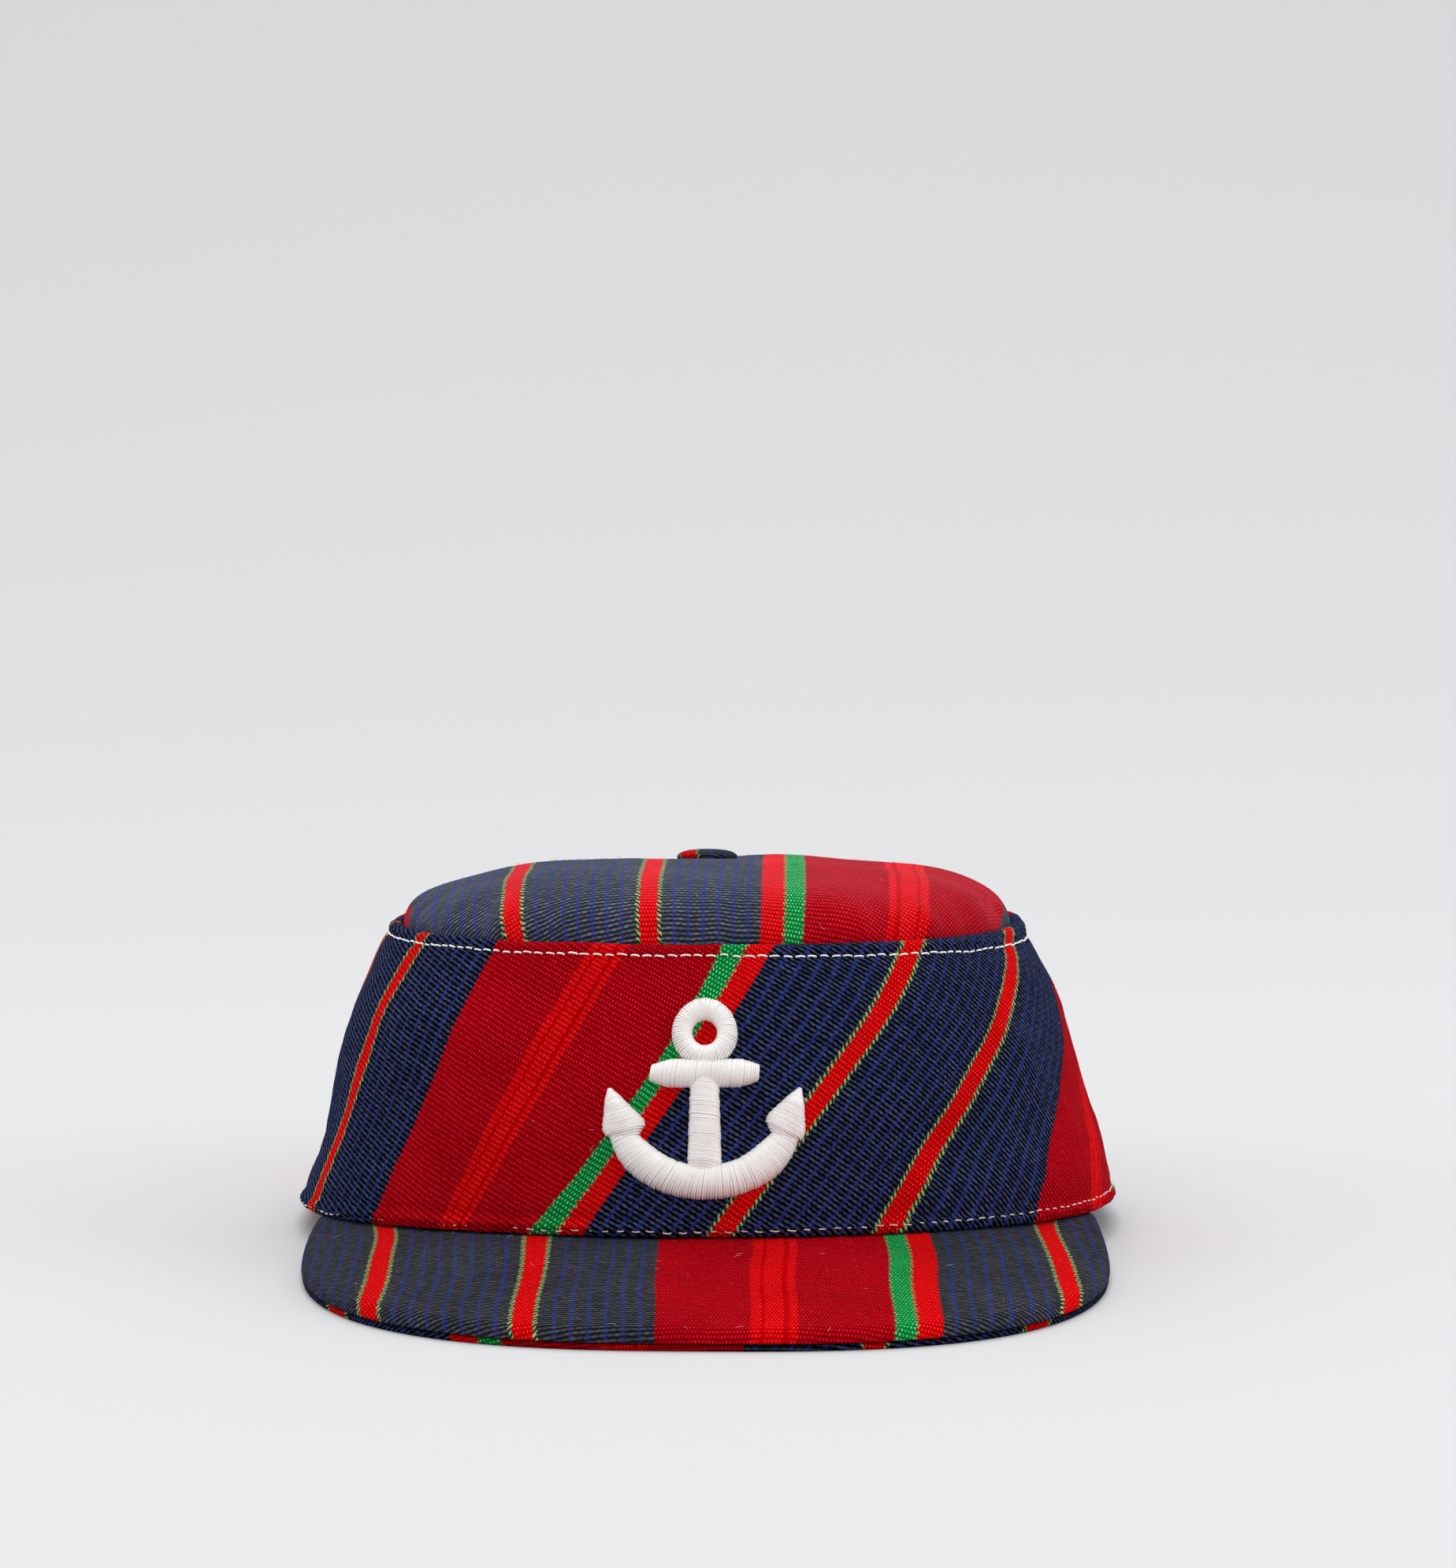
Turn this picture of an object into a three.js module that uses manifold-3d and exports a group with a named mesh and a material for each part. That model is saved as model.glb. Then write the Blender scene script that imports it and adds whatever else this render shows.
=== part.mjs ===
// A pillbox-shaped cap of striped cloth with a short visor, standing on a table.
// It rests on the front edge of its visor and on the back of its hem.
// Millimetres, +Z up. The visor points along -Y, and the origin is the middle of the footprint on the table.

import * as THREE from "three";
import { LoftGeometry } from "three/addons/geometries/LoftGeometry.js";
import { TessellateModifier } from "three/addons/modifiers/TessellateModifier.js";
import { mergeVertices } from "three/addons/utils/BufferGeometryUtils.js";
import Module from "manifold-3d";

const wasm = await Module();
wasm.setup();

// Driving sizes of the crown.
const HEM_HALF_WIDTH = 88.6;
const HEM_HALF_DEPTH = 98.3;
const HEM_FRONT_RISE = 11.4; // the hem leans back: its front is this high and its back lies on the table
const HEM_PRESS = 0.4; // how far the soft hem is pressed flat where it lies
const HEM_SAG = { left: 2.0, right: 0.7 }; // the hem hangs lower at the sides
const WALL_TOP = 64.2; // height of the wall's folded top edge, before the fold's own rounding
const WALL_THICK = 2.4;
const HEM_THICK = 3.8;

// Driving sizes of the top panel and its button.
const PANEL_THICK = 2.0;
const PANEL_TUCK_RISE = 0.9; // its seam allowance reaches down to this share of the wall's height
const PANEL_DROP = 2.6; // the panel's rim lies this far below the wall's folded edge
const DOME_RISE = 16.2;
const DOME_FULLNESS = 2.8; // 2 is an ellipse, more is a fuller pillow
const DOME_LEAN = { right: 0.034, front: 0.3 }; // the dome stands higher there, by these shares of its rise
const DIMPLE = { depth: 1.0, radius: 12 }; // where the button draws the panel down
const BUTTON_RADIUS = 6.6;
const BUTTON_RISE = 2.45;
const BUTTON_SEAT = 0.4; // from the floor of the dimple to the button's foot

// Driving sizes of the visor.
const VISOR_REACH = 56; // from the front of the hem to the visor's edge
const VISOR_HALF_WIDTH = 80.5;
const VISOR_END_ANGLE = THREE.MathUtils.degToRad(60); // where the visor ends, round the hem from the front
const VISOR_SQUARENESS = { left: 2.75, right: 2.78 }; // its right corner is the fuller one
const VISOR_SKEW = 0.028; // the edge reaches further forward to the right, by this share of x
const VISOR_COVER = 2.4; // thickness of the upper cover
const VISOR_THICK = 4.2; // both covers with the gap between them
const VISOR_TUCK = 3.4; // how far the visor reaches in under the hem
const VISOR_CROWN = 1.0; // upward bulge halfway along the visor
const VISOR_PRESS = 0.5; // how far its soft lower edge is pressed flat on the table
const VISOR_BEND = 2.4; // width of the roll over the front edge
const VISOR_FLAT_DEPTH = 42; // the edge starts to curl up this far in front of the visor's ends
const VISOR_END_CURL = 1.6; // power of that curl

// Driving sizes of the raised embroidery, an anchor drawn flat: x to the right, y up, from its centre.
const STITCH_HEIGHT = 2.4;
const STITCH_FULL_WIDTH = 4; // a narrower stroke is lower too
const STITCH_END = 0.3; // a stroke's rounded ends start at this share of its width
const STITCH_END_SHARE = 0.18; // how far along a stroke that rounding runs
const MOTIF_CENTRE_RISE = 0.47; // share of the wall's height
const MOTIF_FACET = 3.5; // longest edge, so that it follows the wall's curve
const ARCH_FACETS = 7; // over a stroke's rounded back
const ANCHOR_RING = { y: 13.6, radius: 4.6, width: 3.8, steps: 20 };
const ANCHOR_ARMS = { y: 1.2, radius: 17.4, width: 6.4, turn: THREE.MathUtils.degToRad(70), steps: 24 };
const ANCHOR_STROKES = [
  { of: "shank", from: [0, 9.8], to: [0, -16.5], width: [5.0, 6.2], steps: 14 },
  { of: "stock", from: [-10.6, 5.6], to: [10.6, 5.6], width: [5.2, 5.2], steps: 12 },
  { of: "left fluke", from: [-14.2, -7.6], to: [-18.6, 2.4], width: [10.5, 0.8], steps: 7 },
  { of: "right fluke", from: [14.2, -7.6], to: [18.6, 2.4], width: [10.5, 0.8], steps: 7 },
];

const GAP = 0.3; // clearance between neighbouring pieces
const AROUND = 72; // facets round the crown
const ALONG_VISOR = 44; // facets along the visor
const CROWN_Y = VISOR_REACH / 2; // the crown's centre lies this far behind the origin

// The wall's outer surface from the hem to the folded edge. rise is the share of the wall's height.
const WALL_LEVELS = [
  { at: "hem fold", rise: 0.0, half_width: 88.0, half_depth: 97.7, squareness: 2.12 },
  { at: "hem roll", rise: 0.04, half_width: HEM_HALF_WIDTH, half_depth: HEM_HALF_DEPTH, squareness: 2.12 },
  { at: "hem stitch", rise: 0.085, half_width: 87.3, half_depth: 97.0, squareness: 2.13 },
  { at: "lower wall", rise: 0.25, half_width: 84.5, half_depth: 94.3, squareness: 2.17 },
  { at: "middle", rise: 0.5, half_width: 80.05, half_depth: 90.2, squareness: 2.23 },
  { at: "upper wall", rise: 0.78, half_width: 75.1, half_depth: 84.4, squareness: 2.3 },
  { at: "shoulder", rise: 0.9, half_width: 71.6, half_depth: 80.6, squareness: 2.33 },
  { at: "top stitch", rise: 0.965, half_width: 69.3, half_depth: 78.2, squareness: 2.35 },
  { at: "top fold", rise: 1.0, half_width: 68.4, half_depth: 77.2, squareness: 2.35 },
];

// Soft dents of the wall. angle is round the crown from the front, in degrees.
// turn and height are how far a dent spreads.
const DENTS = [
  { at: "left side above the hem", angle: -95, turn: 42, rise: 0.25, height: 0.17, depth: 2.3 },
  { at: "left shoulder", angle: -86, turn: 26, rise: 0.84, height: 0.09, depth: 1.0 },
  { at: "right shoulder", angle: 88, turn: 30, rise: 0.9, height: 0.1, depth: 0.7 },
];

// Rings of the wall's skin, up the outside, over the fold and down the inside.
// inset is inwards from the outer surface.
const OUTER_RISES = [0.0, 0.04, 0.085, 0.125, 0.22, 0.34, 0.46, 0.58, 0.7, 0.8, 0.88, 0.94, 0.98];
const INNER_RISES = [0.96, 0.82, 0.62, 0.42, 0.24, 0.13];
const FOLD_RINGS = [
  { rise: 1.008, inset: 0.5 },
  { rise: 1.012, inset: 1.4 },
  { rise: 1.0, inset: WALL_THICK },
];
const HEM_INNER_RINGS = [
  { rise: 0.085, inset: HEM_THICK - 0.5 },
  { rise: 0.04, inset: HEM_THICK },
  { rise: 0.0, inset: HEM_THICK - 0.7 },
];

// Turns of the dome from its rim, 0, to its apex, 90, in degrees.
const DOME_OUTER_TURNS = [0, 10, 21, 33, 46, 60, 75, 83, 87, 90];
const DOME_INNER_TURNS = [90, 68, 48, 31, 15, 0];

// The roll over the visor's edge. inset is back from the edge, depth is down from the upper surface.
const TOP_COVER_ROLL = [
  { inset: 1.1, depth: 0.45 },
  { inset: 0.3, depth: 1.2 },
  { inset: 0.0, depth: 2.0 },
  { inset: 0.3, depth: VISOR_COVER },
];
const UNDER_COVER_ROLL = [
  { inset: 0.6, depth: VISOR_COVER + GAP },
  { inset: 0.25, depth: 3.3 },
  { inset: 0.7, depth: 3.95 },
  { inset: 1.6, depth: VISOR_THICK },
];
// Stations along the visor from the hem to where the roll starts.
const VISOR_SHARES = [0.0, 0.18, 0.36, 0.54, 0.72, 0.88, 1.0];

// The button's outline from the middle of its foot to its crown, as shares of its radius and rise.
const BUTTON_PROFILE = [
  { out: 0, up: 0 },
  { out: 0.91, up: 0 },
  { out: 1, up: 0.3 },
  { out: 0.9, up: 0.62 },
  { out: 0.6, up: 0.9 },
  { out: 0, up: 1 },
];

const CLOTH = { roughness: 0.85, metalness: 0.0 };
const COLOURS = {
  side_band: 0x6b1622,
  top_panel: 0x50485c,
  top_button: 0x3a3d4c,
  visor_top: 0x7a2430,
  visor_under: 0x5c2634,
  front_embroidery: 0xe6dccf,
};

const smoothTable = (rows, station, columns) =>
  new THREE.CubicInterpolant(
    rows.map((row) => row[station]),
    rows.flatMap((row) => columns.map((column) => row[column])),
    columns.length,
  );

const wallCurve = smoothTable(WALL_LEVELS, "rise", ["half_width", "half_depth", "squareness"]);

// Distance from the centre to a rounded oval, at an angle from the front towards +X.
function ovalRadius(angle, halfWidth, halfDepth, squareness) {
  const across = Math.abs(Math.sin(angle)) / halfWidth;
  const along = Math.abs(Math.cos(angle)) / halfDepth;
  return (across ** squareness + along ** squareness) ** (-1 / squareness);
}

// The height of the hem, which leans back onto the table and sags at the sides.
function hemHeight(x, y) {
  const share = (CROWN_Y + HEM_HALF_DEPTH - y) / (2 * HEM_HALF_DEPTH);
  const sag = x < 0 ? HEM_SAG.left : HEM_SAG.right;
  return share * HEM_FRONT_RISE - HEM_PRESS - sag * (x / HEM_HALF_WIDTH) ** 4;
}

// How far the wall is dented inwards at an angle and a rise.
function dentDepth(angle, rise) {
  const turned = THREE.MathUtils.euclideanModulo(angle + Math.PI, 2 * Math.PI) - Math.PI;
  const degrees = THREE.MathUtils.radToDeg(turned);
  const depths = DENTS.map((dent) => {
    const away = ((degrees - dent.angle) / dent.turn) ** 2 + ((rise - dent.rise) / dent.height) ** 2;
    return dent.depth * Math.exp(-away);
  });
  return depths.reduce((sum, depth) => sum + depth, 0);
}

// A point of the wall. angle is round the crown from the front towards +X.
// inset is inwards from the outer surface.
function wallPoint(angle, rise, inset = 0) {
  const [halfWidth, halfDepth, squareness] = wallCurve.evaluate(rise);
  const margin = inset + dentDepth(angle, rise);
  const radius = ovalRadius(angle, halfWidth - margin, halfDepth - margin, squareness);
  const x = radius * Math.sin(angle);
  const y = CROWN_Y - radius * Math.cos(angle);
  const z = THREE.MathUtils.lerp(hemHeight(x, y), WALL_TOP, rise);
  return new THREE.Vector3(x, y, Math.max(0, z));
}

// A closed ring of points, counterclockwise seen from above.
function ring(pointAt) {
  return Array.from({ length: AROUND }, (_, i) => pointAt((i / AROUND) * 2 * Math.PI));
}

function cloth(name, geometry) {
  const material = new THREE.MeshStandardMaterial({ color: COLOURS[name], ...CLOTH });
  const mesh = new THREE.Mesh(geometry, material);
  mesh.name = name;
  return mesh;
}

function sideBand() {
  const outer = OUTER_RISES.map((rise) => ({ rise, inset: 0 }));
  const inner = INNER_RISES.map((rise) => ({ rise, inset: WALL_THICK }));
  const skin = [...outer, ...FOLD_RINGS, ...inner, ...HEM_INNER_RINGS];
  const rings = skin.map(({ rise, inset }) => ring((angle) => wallPoint(angle, rise, inset)));
  return cloth("side_band", new LoftGeometry([...rings, rings[0]]));
}

// A point of the dome. turn runs from the rim to the apex, inset thickens the cloth inwards.
function domePoint(angle, turn, inset) {
  const [wallWidth, wallDepth, squareness] = wallCurve.evaluate(1);
  const margin = WALL_THICK + GAP + inset;
  const share = Math.cos(turn) ** (2 / DOME_FULLNESS);
  const roundness = THREE.MathUtils.lerp(2, squareness, share);
  const radius = share * ovalRadius(angle, wallWidth - margin, wallDepth - margin, roundness);
  const x = radius * Math.sin(angle);
  const y = -radius * Math.cos(angle);
  const lean = 1 + (DOME_LEAN.right * x) / wallWidth - (DOME_LEAN.front * y) / wallDepth;
  const rise = lean * (DOME_RISE - inset) * Math.sin(turn) ** (2 / DOME_FULLNESS);
  const dimple = DIMPLE.depth * Math.exp(-((radius / DIMPLE.radius) ** 4));
  return new THREE.Vector3(x, CROWN_Y + y, WALL_TOP - PANEL_DROP + rise - dimple);
}

function topPanel() {
  const dome = (degrees, inset) => {
    const turn = THREE.MathUtils.degToRad(degrees);
    return ring((angle) => domePoint(angle, turn, inset));
  };
  const tuck = (inset) => ring((angle) => wallPoint(angle, PANEL_TUCK_RISE, WALL_THICK + GAP + inset));
  const inside = DOME_INNER_TURNS.map((degrees) => dome(degrees, PANEL_THICK));
  const outside = DOME_OUTER_TURNS.map((degrees) => dome(degrees, 0));
  const rings = [...inside, tuck(PANEL_THICK), tuck(0), ...outside];
  return cloth("top_panel", new LoftGeometry(rings));
}

function topButton() {
  const profile = BUTTON_PROFILE.map(
    ({ out, up }) => new THREE.Vector2(out * BUTTON_RADIUS, up * BUTTON_RISE),
  );
  const { half_depth: domeDepth } = WALL_LEVELS.at(-1);
  const slope = -Math.atan((DOME_LEAN.front * DOME_RISE) / domeDepth);
  const button = new THREE.LatheGeometry(profile, AROUND / 3).rotateX(Math.PI / 2 + slope);
  const mesh = cloth("top_button", button);
  mesh.position.set(0, CROWN_Y, WALL_TOP - PANEL_DROP + DOME_RISE - DIMPLE.depth + BUTTON_SEAT);
  return mesh;
}

// The visor's edge in plan: half of a rounded oval in front of the line that joins the visor's ends.
const visorEnd = wallPoint(VISOR_END_ANGLE, 0);
const visorDepth = visorEnd.y - (CROWN_Y - HEM_HALF_DEPTH - VISOR_REACH);

// One rib of the visor from under the hem to its edge. side runs from -1, the left end, to 1.
function visorRib(side) {
  const inner = wallPoint(side * VISOR_END_ANGLE, 0, VISOR_TUCK);
  const turn = (side * Math.PI) / 2;
  const squareness = THREE.MathUtils.lerp(VISOR_SQUARENESS.left, VISOR_SQUARENESS.right, (1 + side) / 2);
  const radius = ovalRadius(turn, VISOR_HALF_WIDTH, visorDepth, squareness);
  const edge = new THREE.Vector3(radius * Math.sin(turn), visorEnd.y - radius * Math.cos(turn), 0);
  const curl = Math.max(0, 1 - (visorEnd.y - edge.y) / VISOR_FLAT_DEPTH) ** VISOR_END_CURL;
  const endLift = hemHeight(inner.x, inner.y) - GAP - VISOR_THICK;
  edge.y -= VISOR_SKEW * edge.x * (1 - curl) * Math.cos(turn);
  inner.z = hemHeight(inner.x, inner.y) - GAP;
  edge.z = THREE.MathUtils.lerp(-VISOR_PRESS, endLift, curl) + VISOR_THICK;
  return { inner, edge, length: Math.hypot(edge.x - inner.x, edge.y - inner.y) };
}

function visorPoint({ inner, edge, length }, inset, depth) {
  const share = 1 - inset / length;
  const point = inner.clone().lerp(edge, share);
  const crown = VISOR_CROWN * Math.min(1, length / VISOR_REACH) * Math.sin(Math.PI * share);
  point.z = Math.max(0, point.z + crown - depth);
  return point;
}

// A cover of the visor: its upper face, the roll over its edge, and its lower face back to the hem.
function visorCover(name, upperDepth, lowerDepth, roll) {
  const sections = Array.from({ length: ALONG_VISOR + 1 }, (_, i) => {
    const rib = visorRib((2 * i) / ALONG_VISOR - 1);
    const insets = VISOR_SHARES.map((share) => THREE.MathUtils.lerp(rib.length, VISOR_BEND, share));
    const upper = insets.map((inset) => visorPoint(rib, inset, upperDepth));
    const edge = roll.map(({ inset, depth }) => visorPoint(rib, inset, depth));
    const lower = insets.reverse().map((inset) => visorPoint(rib, inset, lowerDepth));
    return [...upper, ...edge, ...lower];
  });
  return cloth(name, new LoftGeometry(sections, { capStart: true, capEnd: true }));
}

// One section across a stroke: a flat foot and a rounded back.
function strokeSection(centre, direction, width, height) {
  return Array.from({ length: ARCH_FACETS + 1 }, (_, i) => {
    const turn = (i / ARCH_FACETS) * Math.PI;
    const across = (Math.cos(turn) * width) / 2;
    const x = centre.x - direction.y * across;
    const y = centre.y + direction.x * across;
    return new THREE.Vector3(x, y, height * Math.sin(turn));
  });
}

// A stroke along a flat path with rounded ends. widthAt gives its width along the path, from 0 to 1.
function stroke(path, steps, widthAt, closed = false) {
  const sections = Array.from({ length: steps + 1 }, (_, i) => {
    const t = i / steps;
    const inward = Math.min(t, 1 - t) / STITCH_END_SHARE;
    const fade = closed ? 1 : Math.sqrt(Math.min(1, THREE.MathUtils.lerp(STITCH_END, 1, inward)));
    const width = widthAt(t);
    const height = STITCH_HEIGHT * Math.min(1, width / STITCH_FULL_WIDTH);
    return strokeSection(path.getPoint(t), path.getTangent(t), width * fade, height * fade);
  });
  if (closed) {
    sections[steps] = sections[0];
  }
  return new LoftGeometry(sections, { capStart: !closed, capEnd: !closed });
}

function solid(geometry) {
  const bare = new THREE.BufferGeometry();
  bare.setAttribute("position", geometry.getAttribute("position"));
  bare.setIndex(geometry.getIndex());
  const merged = mergeVertices(bare, 1e-3);
  const vertProperties = merged.getAttribute("position").array;
  const triVerts = new Uint32Array(merged.getIndex().array);
  return new wasm.Manifold(new wasm.Mesh({ numProp: 3, vertProperties, triVerts }));
}

// Lays a flat point of the motif on the wall, with its height along the wall's outward normal.
function layOnWall(flat) {
  const step = 1e-3;
  const place = (x, y) => {
    const front = wallPoint(0, MOTIF_CENTRE_RISE);
    const slant = wallPoint(0, 1).distanceTo(wallPoint(0, 0));
    return wallPoint(x / (CROWN_Y - front.y), MOTIF_CENTRE_RISE + y / slant);
  };
  const point = place(flat.x, flat.y);
  const right = place(flat.x + step, flat.y).sub(point);
  const up = place(flat.x, flat.y + step).sub(point);
  const normal = right.cross(up).normalize();
  return point.addScaledVector(normal, GAP + flat.z);
}

function frontEmbroidery() {
  const straight = ANCHOR_STROKES.map(({ from, to, width, steps }) => {
    const path = new THREE.LineCurve(new THREE.Vector2(...from), new THREE.Vector2(...to));
    return stroke(path, steps, (t) => THREE.MathUtils.lerp(width[0], width[1], t));
  });
  const arc = ({ y, radius }, start, end) => new THREE.EllipseCurve(0, y, radius, radius, start, end);
  const down = -Math.PI / 2;
  const { turn } = ANCHOR_ARMS;
  const arms = stroke(arc(ANCHOR_ARMS, down - turn, down + turn), ANCHOR_ARMS.steps, () => ANCHOR_ARMS.width);
  const loop = arc(ANCHOR_RING, 0, 2 * Math.PI);
  const ringStroke = stroke(loop, ANCHOR_RING.steps, () => ANCHOR_RING.width, true);
  const strokes = [...straight, arms, ringStroke].map(solid);
  const joined = strokes.reduce((whole, next) => whole.add(next)).getMesh();
  const flat = new THREE.BufferGeometry();
  flat.setAttribute("position", new THREE.BufferAttribute(joined.vertProperties, joined.numProp));
  flat.setIndex(new THREE.BufferAttribute(joined.triVerts, 1));
  const fine = new TessellateModifier(MOTIF_FACET, 12).modify(flat);
  const places = fine.getAttribute("position");
  for (let i = 0; i < places.count; i += 1) {
    const laid = layOnWall(new THREE.Vector3().fromBufferAttribute(places, i));
    places.setXYZ(i, laid.x, laid.y, laid.z);
  }
  return cloth("front_embroidery", fine);
}

const crown = new THREE.Group();
crown.add(sideBand(), topPanel(), topButton(), frontEmbroidery());

const visor = new THREE.Group();
visor.add(visorCover("visor_top", 0, VISOR_COVER, TOP_COVER_ROLL));
visor.add(visorCover("visor_under", VISOR_COVER + GAP, VISOR_THICK, UNDER_COVER_ROLL));

const cap = new THREE.Group();
cap.add(crown, visor);

export default cap;
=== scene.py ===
"""A striped pillbox cap with a short visor, dressed over its packed CAD solids.

Lengths are metres in the CAD frame: +Z up, the visor points along -Y, and the cap stands on z = 0.
"""

import math

import bmesh
import bpy
import numpy as np
from bpy.props import FloatProperty, FloatVectorProperty, IntProperty, PointerProperty
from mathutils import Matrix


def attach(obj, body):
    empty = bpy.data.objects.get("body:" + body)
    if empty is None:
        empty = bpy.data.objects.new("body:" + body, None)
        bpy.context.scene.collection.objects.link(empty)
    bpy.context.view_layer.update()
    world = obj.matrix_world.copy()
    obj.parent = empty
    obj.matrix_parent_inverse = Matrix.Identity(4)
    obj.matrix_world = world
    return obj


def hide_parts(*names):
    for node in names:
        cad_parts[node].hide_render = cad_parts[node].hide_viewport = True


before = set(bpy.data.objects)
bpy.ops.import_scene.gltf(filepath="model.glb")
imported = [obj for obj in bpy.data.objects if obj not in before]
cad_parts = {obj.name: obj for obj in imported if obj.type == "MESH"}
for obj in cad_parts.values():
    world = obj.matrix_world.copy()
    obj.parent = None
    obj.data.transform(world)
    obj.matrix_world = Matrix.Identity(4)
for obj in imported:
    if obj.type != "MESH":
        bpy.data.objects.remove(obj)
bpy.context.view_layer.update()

bl_info = {
    "name": "Striped Cap",
    "version": (1, 0, 0),
    "blender": (4, 5, 0),
    "location": "3D View > Sidebar > Cap",
    "description": "Builds a striped pillbox cap with a short visor, a raised motif and its stage",
    "category": "Object",
}

MM = 0.001
GAP = 0.3 * MM

# The wall's outer surface: rise is the share of the wall's height, width and depth are shares of the hem's.
WALL_LEVELS = np.array([
    # rise, width, depth, squareness
    (0.0, 0.99323, 0.9939, 2.12),
    (0.022, 1.0, 1.0, 2.12),
    (0.05, 0.9895, 0.9905, 2.12),
    (0.085, 0.98533, 0.98678, 2.13),
    (0.25, 0.95372, 0.95931, 2.17),
    (0.5, 0.9035, 0.9176, 2.23),
    (0.78, 0.84763, 0.8586, 2.3),
    (0.9, 0.80813, 0.81994, 2.33),
    (0.965, 0.78217, 0.79552, 2.35),
    (1.0, 0.77201, 0.78535, 2.35),
])

# Soft dents of the wall: angle and its spread in degrees, rise and its spread, depth.
DENTS = (
    (-95, 42, 0.25, 0.17, 2.3 * MM),
    (-86, 26, 0.84, 0.09, 1.0 * MM),
    (88, 30, 0.9, 0.1, 0.7 * MM),
)

# Where the stripes of the bias-cut wall lie: millimetres of the stripe repeat, then millimetres round
# the wall from its front, at the hem, at half height and at the folded edge.
STRIPE_LAY = np.array([
    (-51.0, -138.0, -128.0, -118.0),
    (-23.0, -101.8, -89.6, -80.5),
    (0.0, -70.6, -59.8, -51.4),
    (17.7, -51.6, -40.0, -26.5),
    (25.9, -45.9, -32.4, -18.6),
    (43.8, -31.8, -12.7, 4.0),
    (47.8, -26.2, -9.0, 10.0),
    (51.8, -22.1, -5.4, 14.9),
    (74.8, 2.6, 23.7, 50.8),
    (103.0, 32.8, 56.3, 92.8),
    (126.0, 69.0, 95.0, 141.0),
    (143.7, 93.5, 117.5, 164.0),
    (200.0, 153.0, 178.5, 216.0),
    (260.0, 216.0, 243.0, 276.0),
])
BIAS = math.radians(32)
WALL_SLANT = 58 * MM  # from the hem to the folded edge
FAN_RADIUS = 300.0  # of the wall's cut, in millimetres, at half height

# The stripe repeat, in millimetres from the start of the first crimson field.
REPEAT = 126.0
STRIPES = (
    (0.0, "crimson"),
    (17.7, "bright"),
    (19.3, "crimson_line"),
    (20.0, "red"),
    (23.6, "crimson_line"),
    (24.3, "bright"),
    (25.9, "crimson"),
    (43.3, "green"),
    (47.2, "red"),
    (51.8, "ground"),
    (72.3, "red"),
    (76.8, "ground"),
    (100.5, "red"),
    (105.0, "ground"),
)
# A colour ramp is read in 255 steps, too coarse for the cords along the stripes' edges. So each cord is drawn
# by itself over the ramp's own edge: the millimetre of its middle, and its width.
CORDS = (
    (43.58, 0.24),
    (47.52, 0.22),
    (72.62, 0.72),
    (76.98, 0.72),
    (100.82, 0.72),
    (105.18, 0.72),
)
DARK_FIELDS = ((51.8, 6), (77.4, 7), (105.6, 6))  # where each starts, and its number of pinstripes
PINSTRIPE_PITCH = 2.95
ROPE_PITCH = 1.3  # of the twisted pale yarns beside the green and the narrow red stripes

# The repeat's millimetre at the middle of the other pieces, and its pace past the ends of the lay above.
TOP_START = 64.5
BUTTON_START = 79.2
VISOR_START = 8.6
UNDER_START = 8.0
LAY_PACE = 0.97

# How the top's stripes lie: their lean, the pull at the left end, their share of the dome's stretch.
TOP_LEAN = 0.016
TOP_LEFT_PULL = 3.0
TOP_EASE = 0.55

# The top's relief, in millimetres from the crown's middle: its rim, one crease at the right, a flatter crest.
RIM_RADIUS = 72
CREASE = {"x": 58.4, "y": -30.7, "slope": 0.545, "spread": 1.3, "middle": -29, "reach": 12}
CREST = {"x": 17, "y": -45, "wide": 11, "deep": 30}

# Finishes of the cloth.
CLOTH_FINISHES = {
    # its dark ground, then the strength of flecks and pinstripes, wear, sheen and tone; the tone is painted
    # light and shade, lighter on the top and darker on the visor's underside
    "bias cloth": ("wall", 1.0, 0.75, 0.01, 0.0, 0.98),
    "top cloth": ("top", 1.0, 0.9, 0.02, 0.08, 1.15),
    "button cloth": ("top", 0.7, 0.5, 0.06, 0.03, 0.8),
    "visor cloth": ("visor", 0.8, 0.7, 0.01, 0.0, 1.0),
    "under cloth": ("wall", 0.9, 0.6, 0.03, 0.0, 0.65),
}
RUBBED_TINT = (0.22, 0.16, 0.18, 1.0)
SHEEN_TINT = (0.66, 0.76, 1.0, 1.0)
THREAD_FINISHES = {
    # its colour, roughness and number of fine strands per millimetre
    "satin thread": ("thread", 0.28, 5.0),
    "sewing thread": ("thread", 0.6, 7.0),
    "hem thread": ("hem_thread", 0.6, 7.0),
}

# One stitch from end to end: shares of its length along the seam, and of its radius outwards.
STITCH_ARCH = {
    "Start": (-0.5, -1.1),
    "Start Handle": (-0.36, 1.5),
    "End Handle": (0.36, 1.5),
    "End": (0.5, -1.1),
}

# Loose fibres.
FIBRES = (
    # piece, setting with their number, length and radius in millimetres, lift as a share of length, paleness
    ("cloth_nap", "nap_count", 0.9, 0.02, 0.8, 0.16),
    ("cloth_lint", "lint_count", 1.7, 0.034, 0.25, 0.8),
)
FIBRE_HOSTS = (
    # piece, share of the fibres that it carries
    ("side_band_cloth", 0.45),
    ("top_panel_cloth", 0.27),
    ("visor_top_cloth", 0.28),
)

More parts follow.
